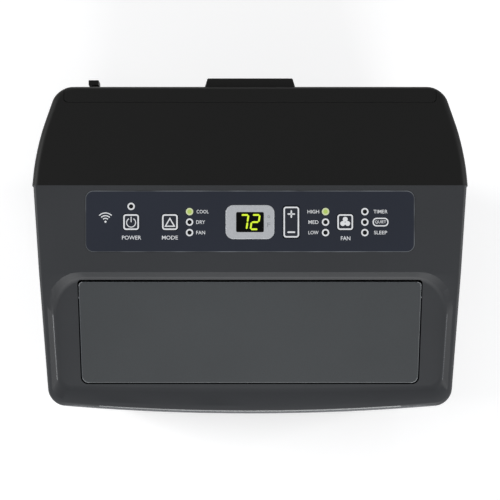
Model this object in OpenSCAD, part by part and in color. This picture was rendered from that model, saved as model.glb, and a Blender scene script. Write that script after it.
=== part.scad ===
// Portable air conditioner: two moulded shells on a castered base pan, with a motorised
// outlet flap on top, a control panel, two coils, two blowers and a compressor inside.
// Millimetres. +X right, -Y front, +Z up. The origin is on the floor under the middle.

/* [Body] */
// Overall width, at the crease where the two shells meet
body_w = 434; // [400:1:530]
// Overall height above the floor
body_h = 700; // [690:1:860]
// Depth of the body, nose to rear wall
body_d = 326; // [320:1:400]
// How far the hose collar and cord hooks stand out behind the rear wall
rear_reach = 26; // [22:1:40]
// Depth of the rear shell's top, rear wall to crease
rear_top_d = 100; // [90:1:120]
// Wall thickness of the shells
wall = 2.5; // [2:0.1:3.2]
// Step at the crease, where the rear shell is the wider one
seam_step = 1.5; // [0:0.1:3]
// Radius of the rear corners in plan
rear_corner_r = 20; // [10:1:30]
// Radius of the front corners in plan
front_corner_r = 18; // [8:1:24]
// How much narrower the front is than the crease, each side
front_taper = 14; // [4:0.5:20]
// How far the front bows out at its middle
front_bow = 9; // [2:0.5:14]
// Height of the joint between the shells and the base pan
shell_z = 72; // [66:1:90]

/* [Top] */
// Fall of the rear top towards the rear wall, degrees
rear_slope = 2; // [0:0.5:5]
// Fall of the control zone towards the front, degrees
control_slope = 5; // [2:0.5:8]
// Fall of the outlet zone towards the front, degrees
flap_slope = 12; // [8:0.5:16]
// Depth of the control zone, crease to outlet dish
control_d = 87.5; // [80:0.5:100]
// Width of the rim left beside the outlet dish
dish_rim = 21; // [18:0.5:30]
// Depth of the outlet dish below the rim
dish_depth = 5; // [3:0.5:6]

/* [Outlet flap] */
// Floor of the dish left beside the flap
flap_side = 25; // [20:0.5:35]
// Distance from the rear edge of the dish to the flap
flap_rear = 9; // [8:0.5:12]
// Distance from the flap to the front edge of the dish
flap_front = 23; // [18:0.5:30]
// Depth of the flap's edge skirt
flap_skirt = 6.5; // [5:0.5:8]
// Gap round the flap
flap_gap = 1.2; // [0.8:0.1:2]
// Radius of the flap's hinge shaft
flap_shaft_r = 3; // [2.5:0.1:4]
// Number of side-to-side vanes under the flap
vanes = 5; // [5]
// Distance from a vane's pivot to its link pin
vane_crank = 10; // [8:0.5:12]

/* [Controls] */
// Half width of the overlay
overlay_half = 163.5; // [160:0.5:180]
// Depth of the overlay, front to rear
overlay_d = 61; // [56:0.5:66]
// Thickness of the overlay
overlay_t = 1.5; // [1:0.1:1.8]
// Side of the square keys
key_side = 16.3; // [14:0.1:18]
// Length of the temperature rocker
rocker_l = 31.9; // [28:0.1:34]
// Travel of a key
key_travel = 0.8; // [0.4:0.1:0.9]
// Gap round a key
key_gap = 0.3; // [0.2:0.05:0.5]
// Radius of an indicator light
led_r = 2.8; // [2:0.1:3.2]
// Distance between indicator lights in a column
led_pitch = 10.4; // [9:0.1:11]

/* [Rear fittings] */
// Radius of the bore that takes the exhaust hose
collar_r = 68; // [60:1:70]
// Wall of the collar
collar_t = 3; // [2:0.5:4]
// Radius of the outside of a drain spout
spout_r = 8; // [6:0.5:9]
// Radius of the cord's passage through its gland
gland_r = 4.2; // [3:0.1:5]
// Width of a cord hook
hook_w = 10.6; // [8:0.1:14]

/* [Casters] */
// Radius of a caster wheel
wheel_r = 20; // [18:0.5:22]
// Distance from the swivel to the axle
trail = 14; // [10:0.5:16]
// Radius of a caster's stem
stem_r = 5.5; // [4:0.5:7]
// Radius of a caster's axle
axle_r = 3; // [2:0.5:4]

/* [Blowers and compressor] */
// Radius of both blower wheels
blower_r = 75; // [65:1:80]
// Width of the cool air blower wheel
evap_wheel_w = 75; // [60:1:78]
// Width of the exhaust blower wheel
cond_wheel_w = 55; // [45:1:58]
// Blades on a blower wheel
blades = 28; // [16:1:36]
// Radius of the compressor's can
compressor_r = 60; // [50:1:64]
// Height of the compressor's can
compressor_h = 180; // [150:1:200]
// Distance between coil fins
fin_pitch = 6; // [5:0.5:10]

/* [Clearances] */
// Radial clearance of a shaft or stem in its bearing
run_gap = 0.06; // [0.02:0.01:0.1]
// Gap between fixed pieces that slip together
slip = 0.5; // [0.3:0.1:1]

/* [Hidden] */
$fn = 48;

// Overall places
far = 900;
half_w = body_w / 2;
front_hw = half_w - seam_step;
front_y = -(body_d + rear_reach) / 2;
rear_y = front_y + body_d;
crease_y = rear_y - rear_top_d;
flank_y = crease_y + 38;
flank_in = 3.2;
flank_r = 208;
rear_in = 24;
kink_y = crease_y - control_d;
kink_z = body_h - control_d * tan(control_slope);

// Outlet dish, with x across and y and z in the tilted plane of the outlet zone
dish_half = half_w - dish_rim;
dish_front_y = front_y + 7;
dish_bow = front_bow - 1;
floor_z = -dish_depth;
flap_half = dish_half - flap_side;
flap_taper = 2.6;
flap_y1 = -flap_rear;
flap_y0 = (dish_front_y - kink_y) / cos(flap_slope) + flap_front;
flap_top = floor_z + 0.4;
flap_bottom = flap_top - flap_skirt;
slot_y1 = flap_y1 + 4.7;
hinge_y = flap_y1 - 16;
hinge_z = flap_top - 12.5;
hinge_world_y = kink_y + hinge_y * cos(flap_slope) - hinge_z * sin(flap_slope);
hinge_world_z = kink_z + hinge_y * sin(flap_slope) + hinge_z * cos(flap_slope);
knuckle_r = 6.5;

// Outlet duct
duct_t = 2;
duct_half = flap_half + 1.5;
duct_rear_y = kink_y - 1;
duct_front_y = kink_y + (flap_y0 - flap_gap - 0.5) * cos(flap_slope) + 0.8;
vane_z = body_h - 60;
vane_pin_r = 2;
vane_pitch = 2 * (duct_half - 52) / (vanes - 1);
link_pin_r = 1.5;

// Control panel, with x across and y and z in the plane of the control zone
row_y = -36.5;
overlay_y1 = -5.3;
pocket = 1.2;
overlay_top = overlay_t - pocket;
key_top = 0.9;
board_z = -15;
board_t = 1.6;
switch_top = -9.4;
tray_z = -26;
power_x = -118;
mode_x = -79.5;
temp_x = 41;
fan_x = 94.5;
led_columns = [-60, 75, 114];
power_led_y = row_y + 15.6;
bezel = [24.2, 16.9];
window = [13.7, 9.9];
rocker_gap = 0.5;
rocker_pivot_z = -5;
rocker_pin_r = 1.2;

// Rear cover
lip_half = half_w - 31.4;
lip_y = rear_y - 16;
lip_z = body_h - 28;
cover_half = half_w - 65;
cover_z = body_h - 216;
grip_half = 45.5;
cover_knuckle_r = 2.2;
cover_knuckle_l = 16;
cover_knuckle_x = cover_half - 28;

// Air path
coil_half = half_w - 67;
coil_y0 = rear_y - 52;
coil_y1 = rear_y - 22;
pipe_drop = 7;
deck_z = body_h - 240;
front_deck_z = body_h - 370;
partition_y = duct_rear_y + 5;
evap_z = body_h - 210;
evap_y0 = duct_rear_y - 7 - evap_scroll_d();
cond_x = 50;
cond_z = 190;
cond_y0 = rear_y - 122;
scroll_t = 2;
scroll_top = 2;
scroll_gap = 9;
scroll_grow = 28;
scroll_r0 = blower_r + scroll_gap;
scroll_r1 = scroll_r0 + scroll_grow;
tongue = 70;
duct_z = evap_z + scroll_r1 + scroll_top;
function evap_scroll_d() = evap_wheel_w + 10;
function cond_scroll_d() = cond_wheel_w + 10;
exhaust_z0 = cond_z + scroll_r1 + scroll_top;
exhaust_y0 = rear_y - 128;
exhaust_y1 = rear_y - 10;
collar_z = body_h - 315;
hook_x = -(half_w - 51);
hook_zs = [body_h - 142, body_h - 400];
gland_x = -(half_w - 56);
gland_z = 150;
upper_spout = [cover_half - 4, deck_z + 11];
lower_spout = [120, 60];
lower_half = half_w - 72;
lower_z0 = 84;
lower_z1 = 290;
cond_coil_z1 = exhaust_z0 - 8;
evap_coil_z1 = body_h - 36;
screw_x = half_w - 51;
screw_zs = [92, body_h - 268, body_h - 46];

// Handles
grip_y0 = front_y + 91;
grip_y1 = grip_y0 + 95;
grip_z0 = body_h - 128;
grip_h = 38;
grip_deep = 28;

// Base and casters
pan_z = 48;
pan_t = 3;
skirt_z = 22;
caster_x = half_w - 67;
caster_front_y = front_y + 61;
caster_rear_y = rear_y - 52;
casters = [[-caster_x, caster_front_y], [caster_x, caster_front_y],
           [-caster_x, caster_rear_y], [caster_x, caster_rear_y]];
hood_r = wheel_r + 4;
web_t = 5.2;
wheel_w = 8.6;
compressor_at = [-85, front_y + 131];
can_z = 78;
accumulator_at = [-(half_w - 52), front_y + 96];

// ---- shape helpers ----

function unit(v) = v / norm(v);

// Each corner of a convex outline moved inwards, so that every side shifts by d
function inset(pts, d) = let (n = len(pts)) [
  for (i = [0:n - 1])
    let (u = unit(pts[(i + n - 1) % n] - pts[i]), v = unit(pts[(i + 1) % n] - pts[i]))
    pts[i] + unit(u + v) * d / sin(acos(u * v) / 2)
];

// The arc that rounds corner b of the path a, b, c
function corner_arc(a, b, c, r, n) =
  let (u = unit(a - b), v = unit(c - b), half = acos(u * v) / 2,
       centre = b + unit(u + v) * r / sin(half), start = b + u * r / tan(half) - centre,
       a0 = atan2(start.y, start.x), turn = 180 - 2 * half)
  [for (i = [0:n]) centre + r * [cos(a0 + turn * i / n), sin(a0 + turn * i / n)]];

function rounded(pts, radii, n = 6) = let (m = len(pts)) [
  for (i = [0:m - 1])
    each (radii[i] <= 0 ? [pts[i]]
      : corner_arc(pts[(i + m - 1) % m], pts[i], pts[(i + 1) % m], radii[i], n))
];

// A front edge that bows out by b at its middle
function bowed(half, y, b, n = 10) =
  [for (i = [0:n]) let (x = half * (2 * i / n - 1)) [x, y + b * pow(x / half, 2)]];

function bowed_radii(r, n = 10) = [for (i = [0:n]) i == 0 || i == n ? r : 0];

// Plan of the body, hw wide each side at the crease, inset by d
function plan(hw, d = 0) = rounded(
  inset(concat(
    [[hw, crease_y], [hw - flank_in, flank_y], [hw - rear_in, rear_y],
     [rear_in - hw, rear_y], [flank_in - hw, flank_y], [-hw, crease_y]],
    bowed(hw - front_taper, front_y, front_bow)), d),
  concat([0, flank_r - d, rear_corner_r - d, rear_corner_r - d, flank_r - d, 0],
    bowed_radii(front_corner_r - d)));

function dish_plan(d = 0) = rounded(
  inset(concat([[dish_half, kink_y], [-dish_half, kink_y]],
    bowed(dish_half - 4, dish_front_y, dish_bow)), d),
  concat([27 - d, 27 - d], bowed_radii(13 - d)));

// Outline of the flap in the tilted plane, grown by g, its rear edge at y1
function flap_plan(g, y1) = let (w = flap_half + g, v = flap_half - flap_taper + g)
  rounded([[w, y1], [-w, y1], [-v, flap_y0 - g], [v, flap_y0 - g]], [4, 4, 7, 7]);

function box_plan(x0, x1, y0, y1, r, n = 6) =
  rounded([[x1, y0], [x1, y1], [x0, y1], [x0, y0]], [r, r, r, r], n);

module box(low, high) {
  translate(low) cube(high - low);
}

module slab(x0, x1, y0, y1, z0, z1, r) {
  translate([0, 0, z0]) linear_extrude(z1 - z0) polygon(box_plan(x0, x1, y0, y1, r));
}

module rod_x(at, r, l) {
  translate(at) rotate([0, 90, 0]) cylinder(r = r, h = l);
}

module rod_y(at, r, l) {
  translate(at) rotate([-90, 0, 0]) cylinder(r = r, h = l);
}

// The room under the sloping top, lowered by d
module roof(d) {
  front_z = kink_z - (kink_y - front_y + 40) * tan(flap_slope);
  rear_z = body_h - (rear_top_d + 40) * tan(rear_slope);
  pts = [[front_y - 40, -100], [rear_y + 40, -100], [rear_y + 40, rear_z],
         [crease_y, body_h], [kink_y, kink_z], [front_y - 40, front_z]];
  rotate([90, 0, 90]) translate([0, 0, -far / 2]) linear_extrude(far) polygon(inset(pts, d));
}

// The body's outer form from height z0 up, inset by d
module block(hw, d, z0) {
  intersection() {
    translate([0, 0, z0]) linear_extrude(body_h + 40) polygon(plan(hw, d));
    roof(d);
  }
}

module skin(hw) {
  difference() {
    block(hw, 0, shell_z);
    block(hw, wall, shell_z - 10);
  }
}

module on_control() {
  translate([0, crease_y, body_h]) rotate([control_slope, 0, 0]) children();
}

module on_flap() {
  translate([0, kink_y, kink_z]) rotate([flap_slope, 0, 0]) children();
}

module at_key(x) {
  on_control() translate([x, row_y, 0]) children();
}

// ---- shells ----

module dish_cut() {
  intersection() {
    translate([0, 0, body_h - 100]) linear_extrude(140) polygon(dish_plan());
    on_flap() box([-far / 2, -far / 2, floor_z], [far / 2, far / 2, 60]);
  }
}

module dish_pan() {
  intersection() {
    block(front_hw, 0, shell_z);
    translate([0, 0, body_h - 100]) linear_extrude(140) polygon(dish_plan(-wall));
    on_flap() box([-far / 2, -far / 2, floor_z - wall], [far / 2, far / 2, 60]);
  }
}

module flap_opening() {
  on_flap() translate([0, 0, floor_z - wall - 1]) linear_extrude(wall + 2)
    polygon(flap_plan(flap_gap, slot_y1));
}

module handle_zone(side, g) {
  x0 = side < 0 ? -far / 2 : half_w - grip_deep - 8 - g;
  x1 = side < 0 ? -(half_w - grip_deep - 8) + g : far / 2;
  box([x0, grip_y0 - g, grip_z0 - g], [x1, grip_y1 + g, grip_z0 + grip_h + g]);
}

module front_shell() {
  color("#3d3f43")
  difference() {
    union() {
      skin(front_hw);
      dish_pan();
    }
    box([-far / 2, crease_y, 0], [far / 2, far / 2, far]);
    dish_cut();
    flap_opening();
    on_control() {
      slab(-overlay_half - slip / 2, overlay_half + slip / 2, overlay_y1 - overlay_d - slip / 2,
        overlay_y1 + slip / 2, -pocket, 10, 8);
      box([-overlay_half + 11, overlay_y1 - overlay_d + 5, -6], [overlay_half - 11, overlay_y1 - 5, 1]);
    }
    handle_zone(-1, slip / 2);
    handle_zone(1, slip / 2);
  }
}

// Cover over the filter: a lip on the top, and a narrower plate down the rear wall
module cover_zone(g) {
  translate([0, 0, lip_z - g]) linear_extrude(far)
    polygon(box_plan(-lip_half - g, lip_half + g, lip_y - g, rear_y + 40, 4));
  box([-cover_half - g, rear_y - 12, cover_z - g], [cover_half + g, rear_y + 40, lip_z + 1]);
}

// Round knuckles at the foot of the cover, on the line that it tilts about
module cover_knuckles(g) {
  for (side = [-1, 1])
    rod_x([side * cover_knuckle_x - cover_knuckle_l / 2 - g, rear_y, cover_z], cover_knuckle_r + g, cover_knuckle_l + 2 * g);
}

module side_louvres() {
  for (side = [-1, 1], z = [100:12:280])
    box([side * half_w - 30, crease_y + 22, z], [side * half_w + 30, rear_y - 30, z + 5]);
}

module rear_shell() {
  color("#202121")
  difference() {
    skin(half_w);
    box([-far / 2, -far / 2, 0], [far / 2, crease_y, far]);
    cover_zone(slip);
    box([-lower_half - slip, rear_y - 10, lower_z0 - slip],
        [lower_half + slip, rear_y + 10, lower_z1 + slip]);
    cover_knuckles(slip);
    rod_y([0, rear_y - 20, collar_z], collar_r + collar_t + slip, 40);
    rod_y([gland_x, rear_y - 20, gland_z], 9, 40);
    rod_y([upper_spout.x, rear_y - 20, upper_spout.y], spout_r + slip, 40);
    side_louvres();
    for (side = [-1, 1], z = screw_zs)
      rod_y([side * screw_x, rear_y - 20, z], 1.8, 40);
  }
}

// Rows of air slots in the rear wall, in three columns
module rear_slots(half, z0, z1, pitch, slot) {
  columns = 3;
  bar = 7;
  width = (2 * half - bar * (columns + 1)) / columns;
  for (z = [z0:pitch:z1 - slot], i = [0:columns - 1])
    box([-half + bar + i * (width + bar), rear_y - 20, z],
        [-half + bar + i * (width + bar) + width, rear_y + 20, z + slot]);
}

module upper_grille() {
  color("#202121") {
    difference() {
      intersection() {
        skin(half_w);
        cover_zone(0);
      }
      rear_slots(cover_half, cover_z + 12, lip_z - 4, 9, 5);
    }
    cover_knuckles(0);
    translate([0, 0, body_h - 17]) linear_extrude(8)
      polygon([[-grip_half, rear_y], [grip_half, rear_y], [grip_half - 3, rear_y + 9],
               [3 - grip_half, rear_y + 9]]);
  }
}

module lower_grille() {
  color("#202121")
  difference() {
    box([-lower_half, rear_y - wall, lower_z0], [lower_half, rear_y, lower_z1]);
    rear_slots(lower_half, lower_z0 + 8, lower_z1 - 4, 9, 5);
  }
}

// Washable filter: a frame with a coarse lattice that carries the net
module filter_frame() {
  y0 = coil_y1 + 8;
  half = cover_half - 5;
  z0 = cover_z + 5;
  z1 = lip_z - 5;
  color("#2a2c2e") {
    difference() {
      box([-half, y0, z0], [half, y0 + 4, z1]);
      box([-half + 7, y0 - 1, z0 + 7], [half - 7, y0 + 5, z1 - 7]);
    }
    for (i = [1:9])
      box([-half + i * 2 * half / 10 - 0.8, y0 + 1, z0 + 6], [-half + i * 2 * half / 10 + 0.8, y0 + 3, z1 - 6]);
    for (i = [1:5])
      box([-half + 6, y0 + 1.2, z0 + i * (z1 - z0) / 6 - 0.8], [half - 6, y0 + 2.8, z0 + i * (z1 - z0) / 6 + 0.8]);
    box([-half + 6, y0 + 1.7, z0 + 6], [half - 6, y0 + 2.3, z1 - 6]);
  }
}

// Recessed carrying grip in the side of the front shell
module handle(side) {
  inner = side * (half_w - grip_deep - 6);
  color("#2c2e31")
  difference() {
    intersection() {
      block(front_hw, 0, shell_z);
      handle_zone(side, 0);
    }
    box([min(inner, side * far / 2), grip_y0 + 2, grip_z0 + 2],
        [max(inner, side * far / 2), grip_y1 - 2, grip_z0 + grip_h - 2]);
  }
}

// ---- outlet ----

module louver_flap() {
  t = 2.5;
  color("#47494c")
  on_flap() {
    difference() {
      translate([0, 0, flap_bottom]) linear_extrude(flap_skirt) polygon(flap_plan(0, flap_y1));
      translate([0, 0, flap_bottom - 1]) linear_extrude(flap_skirt + 1 - t)
        polygon(flap_plan(-t, flap_y1 - t));
      // The rear edge is bevelled, to swing past the dish
      translate([0, flap_y1, flap_top]) rotate([45, 0, 0])
        box([-far / 2, -1.1, -1.1], [far / 2, 1.1, 1.1]);
    }
    for (x = [-1, 0, 1])
      difference() {
        union() {
          rod_x([x * (flap_half - 14) - 4, hinge_y, hinge_z], knuckle_r, 8);
          box([x * (flap_half - 14) - 4, hinge_y - 5, hinge_z], [x * (flap_half - 14) + 4, hinge_y + 5, flap_top - t]);
        }
        rod_x([x * (flap_half - 14) - 5, hinge_y, hinge_z], flap_shaft_r + run_gap, 10);
      }
  }
}

// Foam-backed inner skin that stops condensation on the flap
module flap_liner() {
  color("#1d1e20")
  on_flap() difference() {
    slab(-flap_half + 26, flap_half - 26, flap_y0 + 5, hinge_y - 9, flap_bottom - 1.5, flap_top - 2.5, 4);
    for (i = [0:7])
      slab(-flap_half + 34 + i * (2 * flap_half - 68) / 8, -flap_half + 30 + (i + 1) * (2 * flap_half - 68) / 8,
        flap_y0 + 12, hinge_y - 16, flap_bottom - 2, flap_bottom, 3);
  }
}

module flap_shaft() {
  color("silver")
  on_flap() rod_x([-duct_half - duct_t + 0.3, hinge_y, hinge_z], flap_shaft_r, 2 * duct_half + 2 * duct_t + 2.4);
}

// Geared stepper motor on the duct's right cheek, with its output off centre
module flap_motor() {
  x0 = duct_half + duct_t;
  color("silver")
  on_flap() difference() {
    union() {
      rod_x([x0 + 0.5, hinge_y, hinge_z - 8], 13.5, 18);
      rod_x([x0, hinge_y, hinge_z], 5, 3);
      box([x0, hinge_y - 21, hinge_z - 12], [x0 + 1.2, hinge_y + 19, hinge_z - 4.5]);
    }
    rod_x([x0 - 1, hinge_y, hinge_z], flap_shaft_r + run_gap, 5);
  }
}

// Box above the cool air blower that spreads its air to the full width of the flap
module outlet_duct() {
  color("#1b1c1e")
  difference() {
    intersection() {
      box([-duct_half - duct_t, duct_front_y - duct_t, duct_z], [duct_half + duct_t, duct_rear_y + duct_t, body_h]);
      on_flap() box([-far / 2, -far / 2, -far / 2], [far / 2, far / 2, floor_z - wall]);
    }
    box([-duct_half, duct_front_y, duct_z + duct_t], [duct_half, duct_rear_y, body_h]);
    box([scroll_r0 * cos(tongue) + scroll_t, evap_y0 + scroll_t, duct_z - 1],
        [scroll_r1 - scroll_t, evap_y0 + evap_scroll_d() - scroll_t, duct_z + 5]);
    on_flap() rod_x([-duct_half - 10, hinge_y, hinge_z], flap_shaft_r + run_gap, 2 * duct_half + 20);
    for (i = [0:vanes - 1])
      rod_y([vane_x(i), duct_front_y - 10, vane_z], vane_pin_r + run_gap, duct_rear_y - duct_front_y + 20);
  }
}

function vane_x(i) = (i - (vanes - 1) / 2) * vane_pitch;

// Upright vane that steers the air sideways, on a rod along Y, with a crank pin at its rear
module vane(i) {
  y0 = duct_front_y + 1;
  y1 = duct_rear_y - 8;
  x = vane_x(i);
  color("#26282a") {
    box([x - 0.9, y0 + 3, vane_z - 15], [x + 0.9, y1 - 4, vane_z + 13]);
    rod_y([x, y0, vane_z], 3, y1 - y0 + 6);
    rod_y([x, duct_front_y - 1.6, vane_z], vane_pin_r, 4);
    rod_y([x, y1 + 4, vane_z], vane_pin_r, duct_rear_y - y1 - 2.4);
    box([x - 2.5, y1 - 4, vane_z - vane_crank - 2.5], [x + 2.5, y1 - 1, vane_z]);
    rod_y([x, y1 - 2, vane_z - vane_crank], link_pin_r, 6);
  }
}

module vane_link() {
  y0 = duct_rear_y - 8;
  color("#26282a")
  difference() {
    slab_xz(vane_x(0) - 8, vane_x(vanes - 1) + 8, y0, y0 + 3, vane_z - vane_crank - 5, vane_z - vane_crank + 5, 3);
    for (i = [0:vanes - 1])
      slab_xz(vane_x(i) - link_pin_r - 0.35, vane_x(i) + link_pin_r + 0.35, y0 - 1, y0 + 4,
        vane_z - vane_crank - link_pin_r - 0.6, vane_z - vane_crank + link_pin_r + 1.6, 1.4);
  }
}

// A flat bar in the XZ plane, rounded by r
module slab_xz(x0, x1, y0, y1, z0, z1, r) {
  translate([0, y1, 0]) rotate([90, 0, 0]) linear_extrude(y1 - y0) polygon(box_plan(x0, x1, z0, z1, r));
}

// ---- control panel ----

module square_key(x) {
  half = key_side / 2;
  color("#34373c")
  at_key(x) {
    slab(-half, half, -half, half, -1.8, key_top, 3);
    translate([0, 0, switch_top + key_travel + 0.2]) cylinder(r = 2, h = -1.6 - switch_top - key_travel);
  }
}

module control_overlay() {
  cut = key_side / 2 + key_gap;
  color("#32343a")
  difference() {
    on_control() slab(-overlay_half, overlay_half, overlay_y1 - overlay_d, overlay_y1, -pocket, overlay_top, 8);
    for (x = [power_x, mode_x, fan_x])
      at_key(x) slab(-cut, cut, -cut, cut, -5, 5, 3);
    at_key(temp_x) slab(-key_side / 2 - rocker_gap, key_side / 2 + rocker_gap,
      -rocker_l / 2 - rocker_gap, rocker_l / 2 + rocker_gap, -5, 5, 3);
    at_key(0) slab(-bezel.x - 0.1, bezel.x + 0.1, -bezel.y - 0.1, bezel.y + 0.1, -5, 5, 7.5);
    on_control() led_places() translate([0, 0, -5]) cylinder(r = led_r + 0.1, h = 10);
  }
}

module led_places() {
  translate([power_x, power_led_y, 0]) children();
  for (x = led_columns, i = [-1, 0, 1])
    translate([x, row_y + i * led_pitch, 0]) children();
}

module display_bezel() {
  color("#aeb1b5")
  at_key(0) difference() {
    slab(-bezel.x, bezel.x, -bezel.y, bezel.y, -pocket, 0.8, 7.5);
    slab(-window.x - 0.1, window.x + 0.1, -window.y - 0.1, window.y + 0.1, -5, 5, 1.5);
  }
}

module display_window() {
  color("#0b0c0d") at_key(0) slab(-window.x, window.x, -window.y, window.y, -pocket, 0.5, 1.4);
}

module display_module() {
  color("#15171a") at_key(0) {
    slab(-13, 13, -9.5, 9.5, board_z + board_t, -1.6, 1);
    // Two digits of seven bars each, standing just under the window
    for (x = [-6, 6], y = [-7, 0, 7])
      box([x - 3.5, y - 0.6, -1.6], [x + 3.5, y + 0.6, -1.3]);
    for (x = [-10.2, -1.8, 1.8, 10.2], y = [-3.5, 3.5])
      box([x - 0.6, y - 2.6, -1.6], [x + 0.6, y + 2.6, -1.3]);
  }
}

module indicator_leds() {
  color("#c8e04a")
  on_control() led_places() translate([0, 0, board_z + board_t]) cylinder(r = led_r, h = -board_z - board_t + 0.5);
}

// Rocking key for warmer and cooler, on two trunnions
module temp_rocker() {
  half = key_side / 2;
  color("#34373c")
  at_key(temp_x) {
    slab(-half, half, -rocker_l / 2, rocker_l / 2, -1.8, key_top, 3);
    box([-half + 1, -2, rocker_pivot_z - 1.2], [half - 1, 2, -1.5]);
    rod_x([-half - 2.6, 0, rocker_pivot_z], rocker_pin_r, key_side + 5.2);
    for (y = [-11, 11])
      translate([0, y, switch_top + 1]) cylinder(r = 2, h = -1.6 - switch_top - 1);
  }
}

// Main board of the panel with a tactile switch under each key
module control_board() {
  color("#1f5a34")
  on_control() {
    difference() {
      slab(-overlay_half + 16, overlay_half - 16, overlay_y1 - overlay_d + 7, overlay_y1 - 7, board_z, board_z + board_t, 2);
      for (side = [-1, 1])
        rocker_post(side, 0.4, board_z - 5, board_z + 5);
    }
    for (p = [[power_x, 0], [mode_x, 0], [fan_x, 0], [temp_x, -11], [temp_x, 11]])
      translate([p.x, row_y + p.y, board_z + board_t]) {
        box([-3, -3, 0], [3, 3, 3.4]);
        cylinder(r = 1.6, h = switch_top - board_z - board_t);
      }
  }
}

module rocker_post(side, g, z0, z1) {
  x = temp_x + side * (key_side / 2 + 2);
  box([x - 1 - g, row_y - 2.6 - g, z0], [x + 1 + g, row_y + 2.6 + g, z1]);
}

// Tray that closes the underside of the panel and carries the rocker's two posts
module control_tray() {
  half = overlay_half - 7;
  y0 = overlay_y1 - overlay_d + 2;
  y1 = overlay_y1 - 2;
  color("#27292c")
  on_control() difference() {
    union() {
      difference() {
        slab(-half, half, y0, y1, tray_z, -wall, 4);
        slab(-half + 2, half - 2, y0 + 2, y1 - 2, tray_z + 2, 0, 3);
      }
      for (side = [-1, 1])
        rocker_post(side, 0, tray_z + 1, rocker_pivot_z + 2.2);
      for (x = [-140, -100, -20, 20, 70, 140], y = [y0 + 10, y1 - 10])
        translate([x, y, tray_z + 1]) cylinder(r = 3, h = board_z - tray_z - 1);
    }
    rod_x([temp_x - 20, row_y, rocker_pivot_z], rocker_pin_r + run_gap, 40);
  }
}

// ---- coils and blowers ----

// Fins on both sides of a core, with end plates and return bends at both ends
module coil(half, y0, y1, z0, z1, tone) {
  core = 8;
  mid = (y0 + y1) / 2;
  count = floor((2 * half - 6) / fin_pitch);
  bend = 13;
  color(tone) {
    box([-half, mid - core / 2, z0], [half, mid + core / 2, z1]);
    for (i = [0:count])
      let (x = -half + 3 + i * (2 * half - 6) / count)
      box([x - 0.6, y0, z0], [x + 0.6, y1, z1]);
    for (x = [-half, half - 1.5])
      box([x, y0 - 1, z0], [x + 1.5, y1 + 1, z1]);
    for (side = [-1, 1], z = [z0 + 12:2 * bend:z1 - bend - 16])
      translate([side * half, mid, z + bend / 2]) rotate([90, 0, side < 0 ? 180 : 0]) return_bend(bend / 2);
  }
}

module return_bend(r) {
  rotate([0, 0, -90]) rotate_extrude(angle = 180) translate([r, 0]) circle(r = 3);
}

module evaporator_coil() {
  coil(coil_half, coil_y0, coil_y1, deck_z + 8, evap_coil_z1, "#b9bcbf");
}

module condenser_coil() {
  coil(coil_half, coil_y0, coil_y1, pan_z + 21, cond_coil_z1, "#a9acb0");
}

// Squirrel-cage wheel along +Y, its back plate at y = 0 and its shaft towards -Y
module blower_wheel(w, shaft) {
  ring = 6;
  color("#3a3d40")
  difference() {
    union() {
      rod_y([0, 0, 0], blower_r, 2.4);
      rod_y([0, 0, 0], 13, w / 2);
      for (i = [0:blades - 1])
        rotate([0, i * 360 / blades, 0]) translate([blower_r - 15, 0, 0]) rotate([0, 28, 0])
          box([-2, 0, -0.8], [12, w, 0.8]);
      translate([0, w, 0]) rotate([90, 0, 0]) difference() {
        cylinder(r = blower_r, h = ring);
        translate([0, 0, -1]) cylinder(r = blower_r - 13, h = ring + 2);
      }
      rod_y([0, -shaft, 0], 4, shaft + 1);
    }
  }
}

// Outline of a scroll that opens upwards, its walls moved in by d
function spiral(d) = concat(
  [for (i = [0:36]) let (a = tongue + (360 - tongue) * i / 36, r = scroll_r0 - d + scroll_grow * i / 36)
    r * [cos(a), sin(a)]],
  [[scroll_r1 - d, scroll_r1 + scroll_top + d], [scroll_r0 * cos(tongue) + d, scroll_r1 + scroll_top + d]]);

// Scroll along +Y from y = 0, with its motor side at y = 0 and its inlet ring at y = depth
module scroll(depth, ring) {
  color("#303337")
  difference() {
    union() {
      translate([0, depth, 0]) rotate([90, 0, 0]) linear_extrude(depth) polygon(spiral(0));
      rod_y([0, depth - 1, 0], blower_r - 6, ring + 1);
    }
    translate([0, depth - scroll_t, 0]) rotate([90, 0, 0])
      linear_extrude(depth - 2 * scroll_t) polygon(spiral(scroll_t));
    rod_y([0, depth / 2, 0], blower_r - 9, depth + ring);
    rod_y([0, -5, 0], 24, 20);
  }
}

module blower_motor(r, l) {
  color("#7d8084")
  difference() {
    union() {
      rod_y([0, -l, 0], r, l - 3);
      rod_y([0, -3, 0], 23, 4);
      rod_y([0, -3, 0], r + 5, 3);
    }
    rod_y([0, -l / 2, 0], 4 + run_gap, l);
  }
}

module evap_blower_wheel() {
  translate([0, evap_y0 + 5, evap_z]) blower_wheel(evap_wheel_w, 18);
}

module evap_blower_motor() {
  translate([0, evap_y0, evap_z]) blower_motor(34, 34);
}

module evap_scroll() {
  translate([0, evap_y0, evap_z]) scroll(evap_scroll_d(), partition_y - evap_y0 - evap_scroll_d());
}

module at_condenser() {
  translate([cond_x, cond_y0, cond_z]) mirror([1, 0, 0]) children();
}

module cond_blower_wheel() {
  at_condenser() blower_wheel(cond_wheel_w, 18);
}

module cond_blower_motor() {
  at_condenser() translate([0, -5, 0]) blower_motor(36, 42);
}

module cond_scroll() {
  at_condenser() translate([0, -5, 0]) scroll(cond_scroll_d(), 4);
}

// ---- compressor circuit ----

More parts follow.
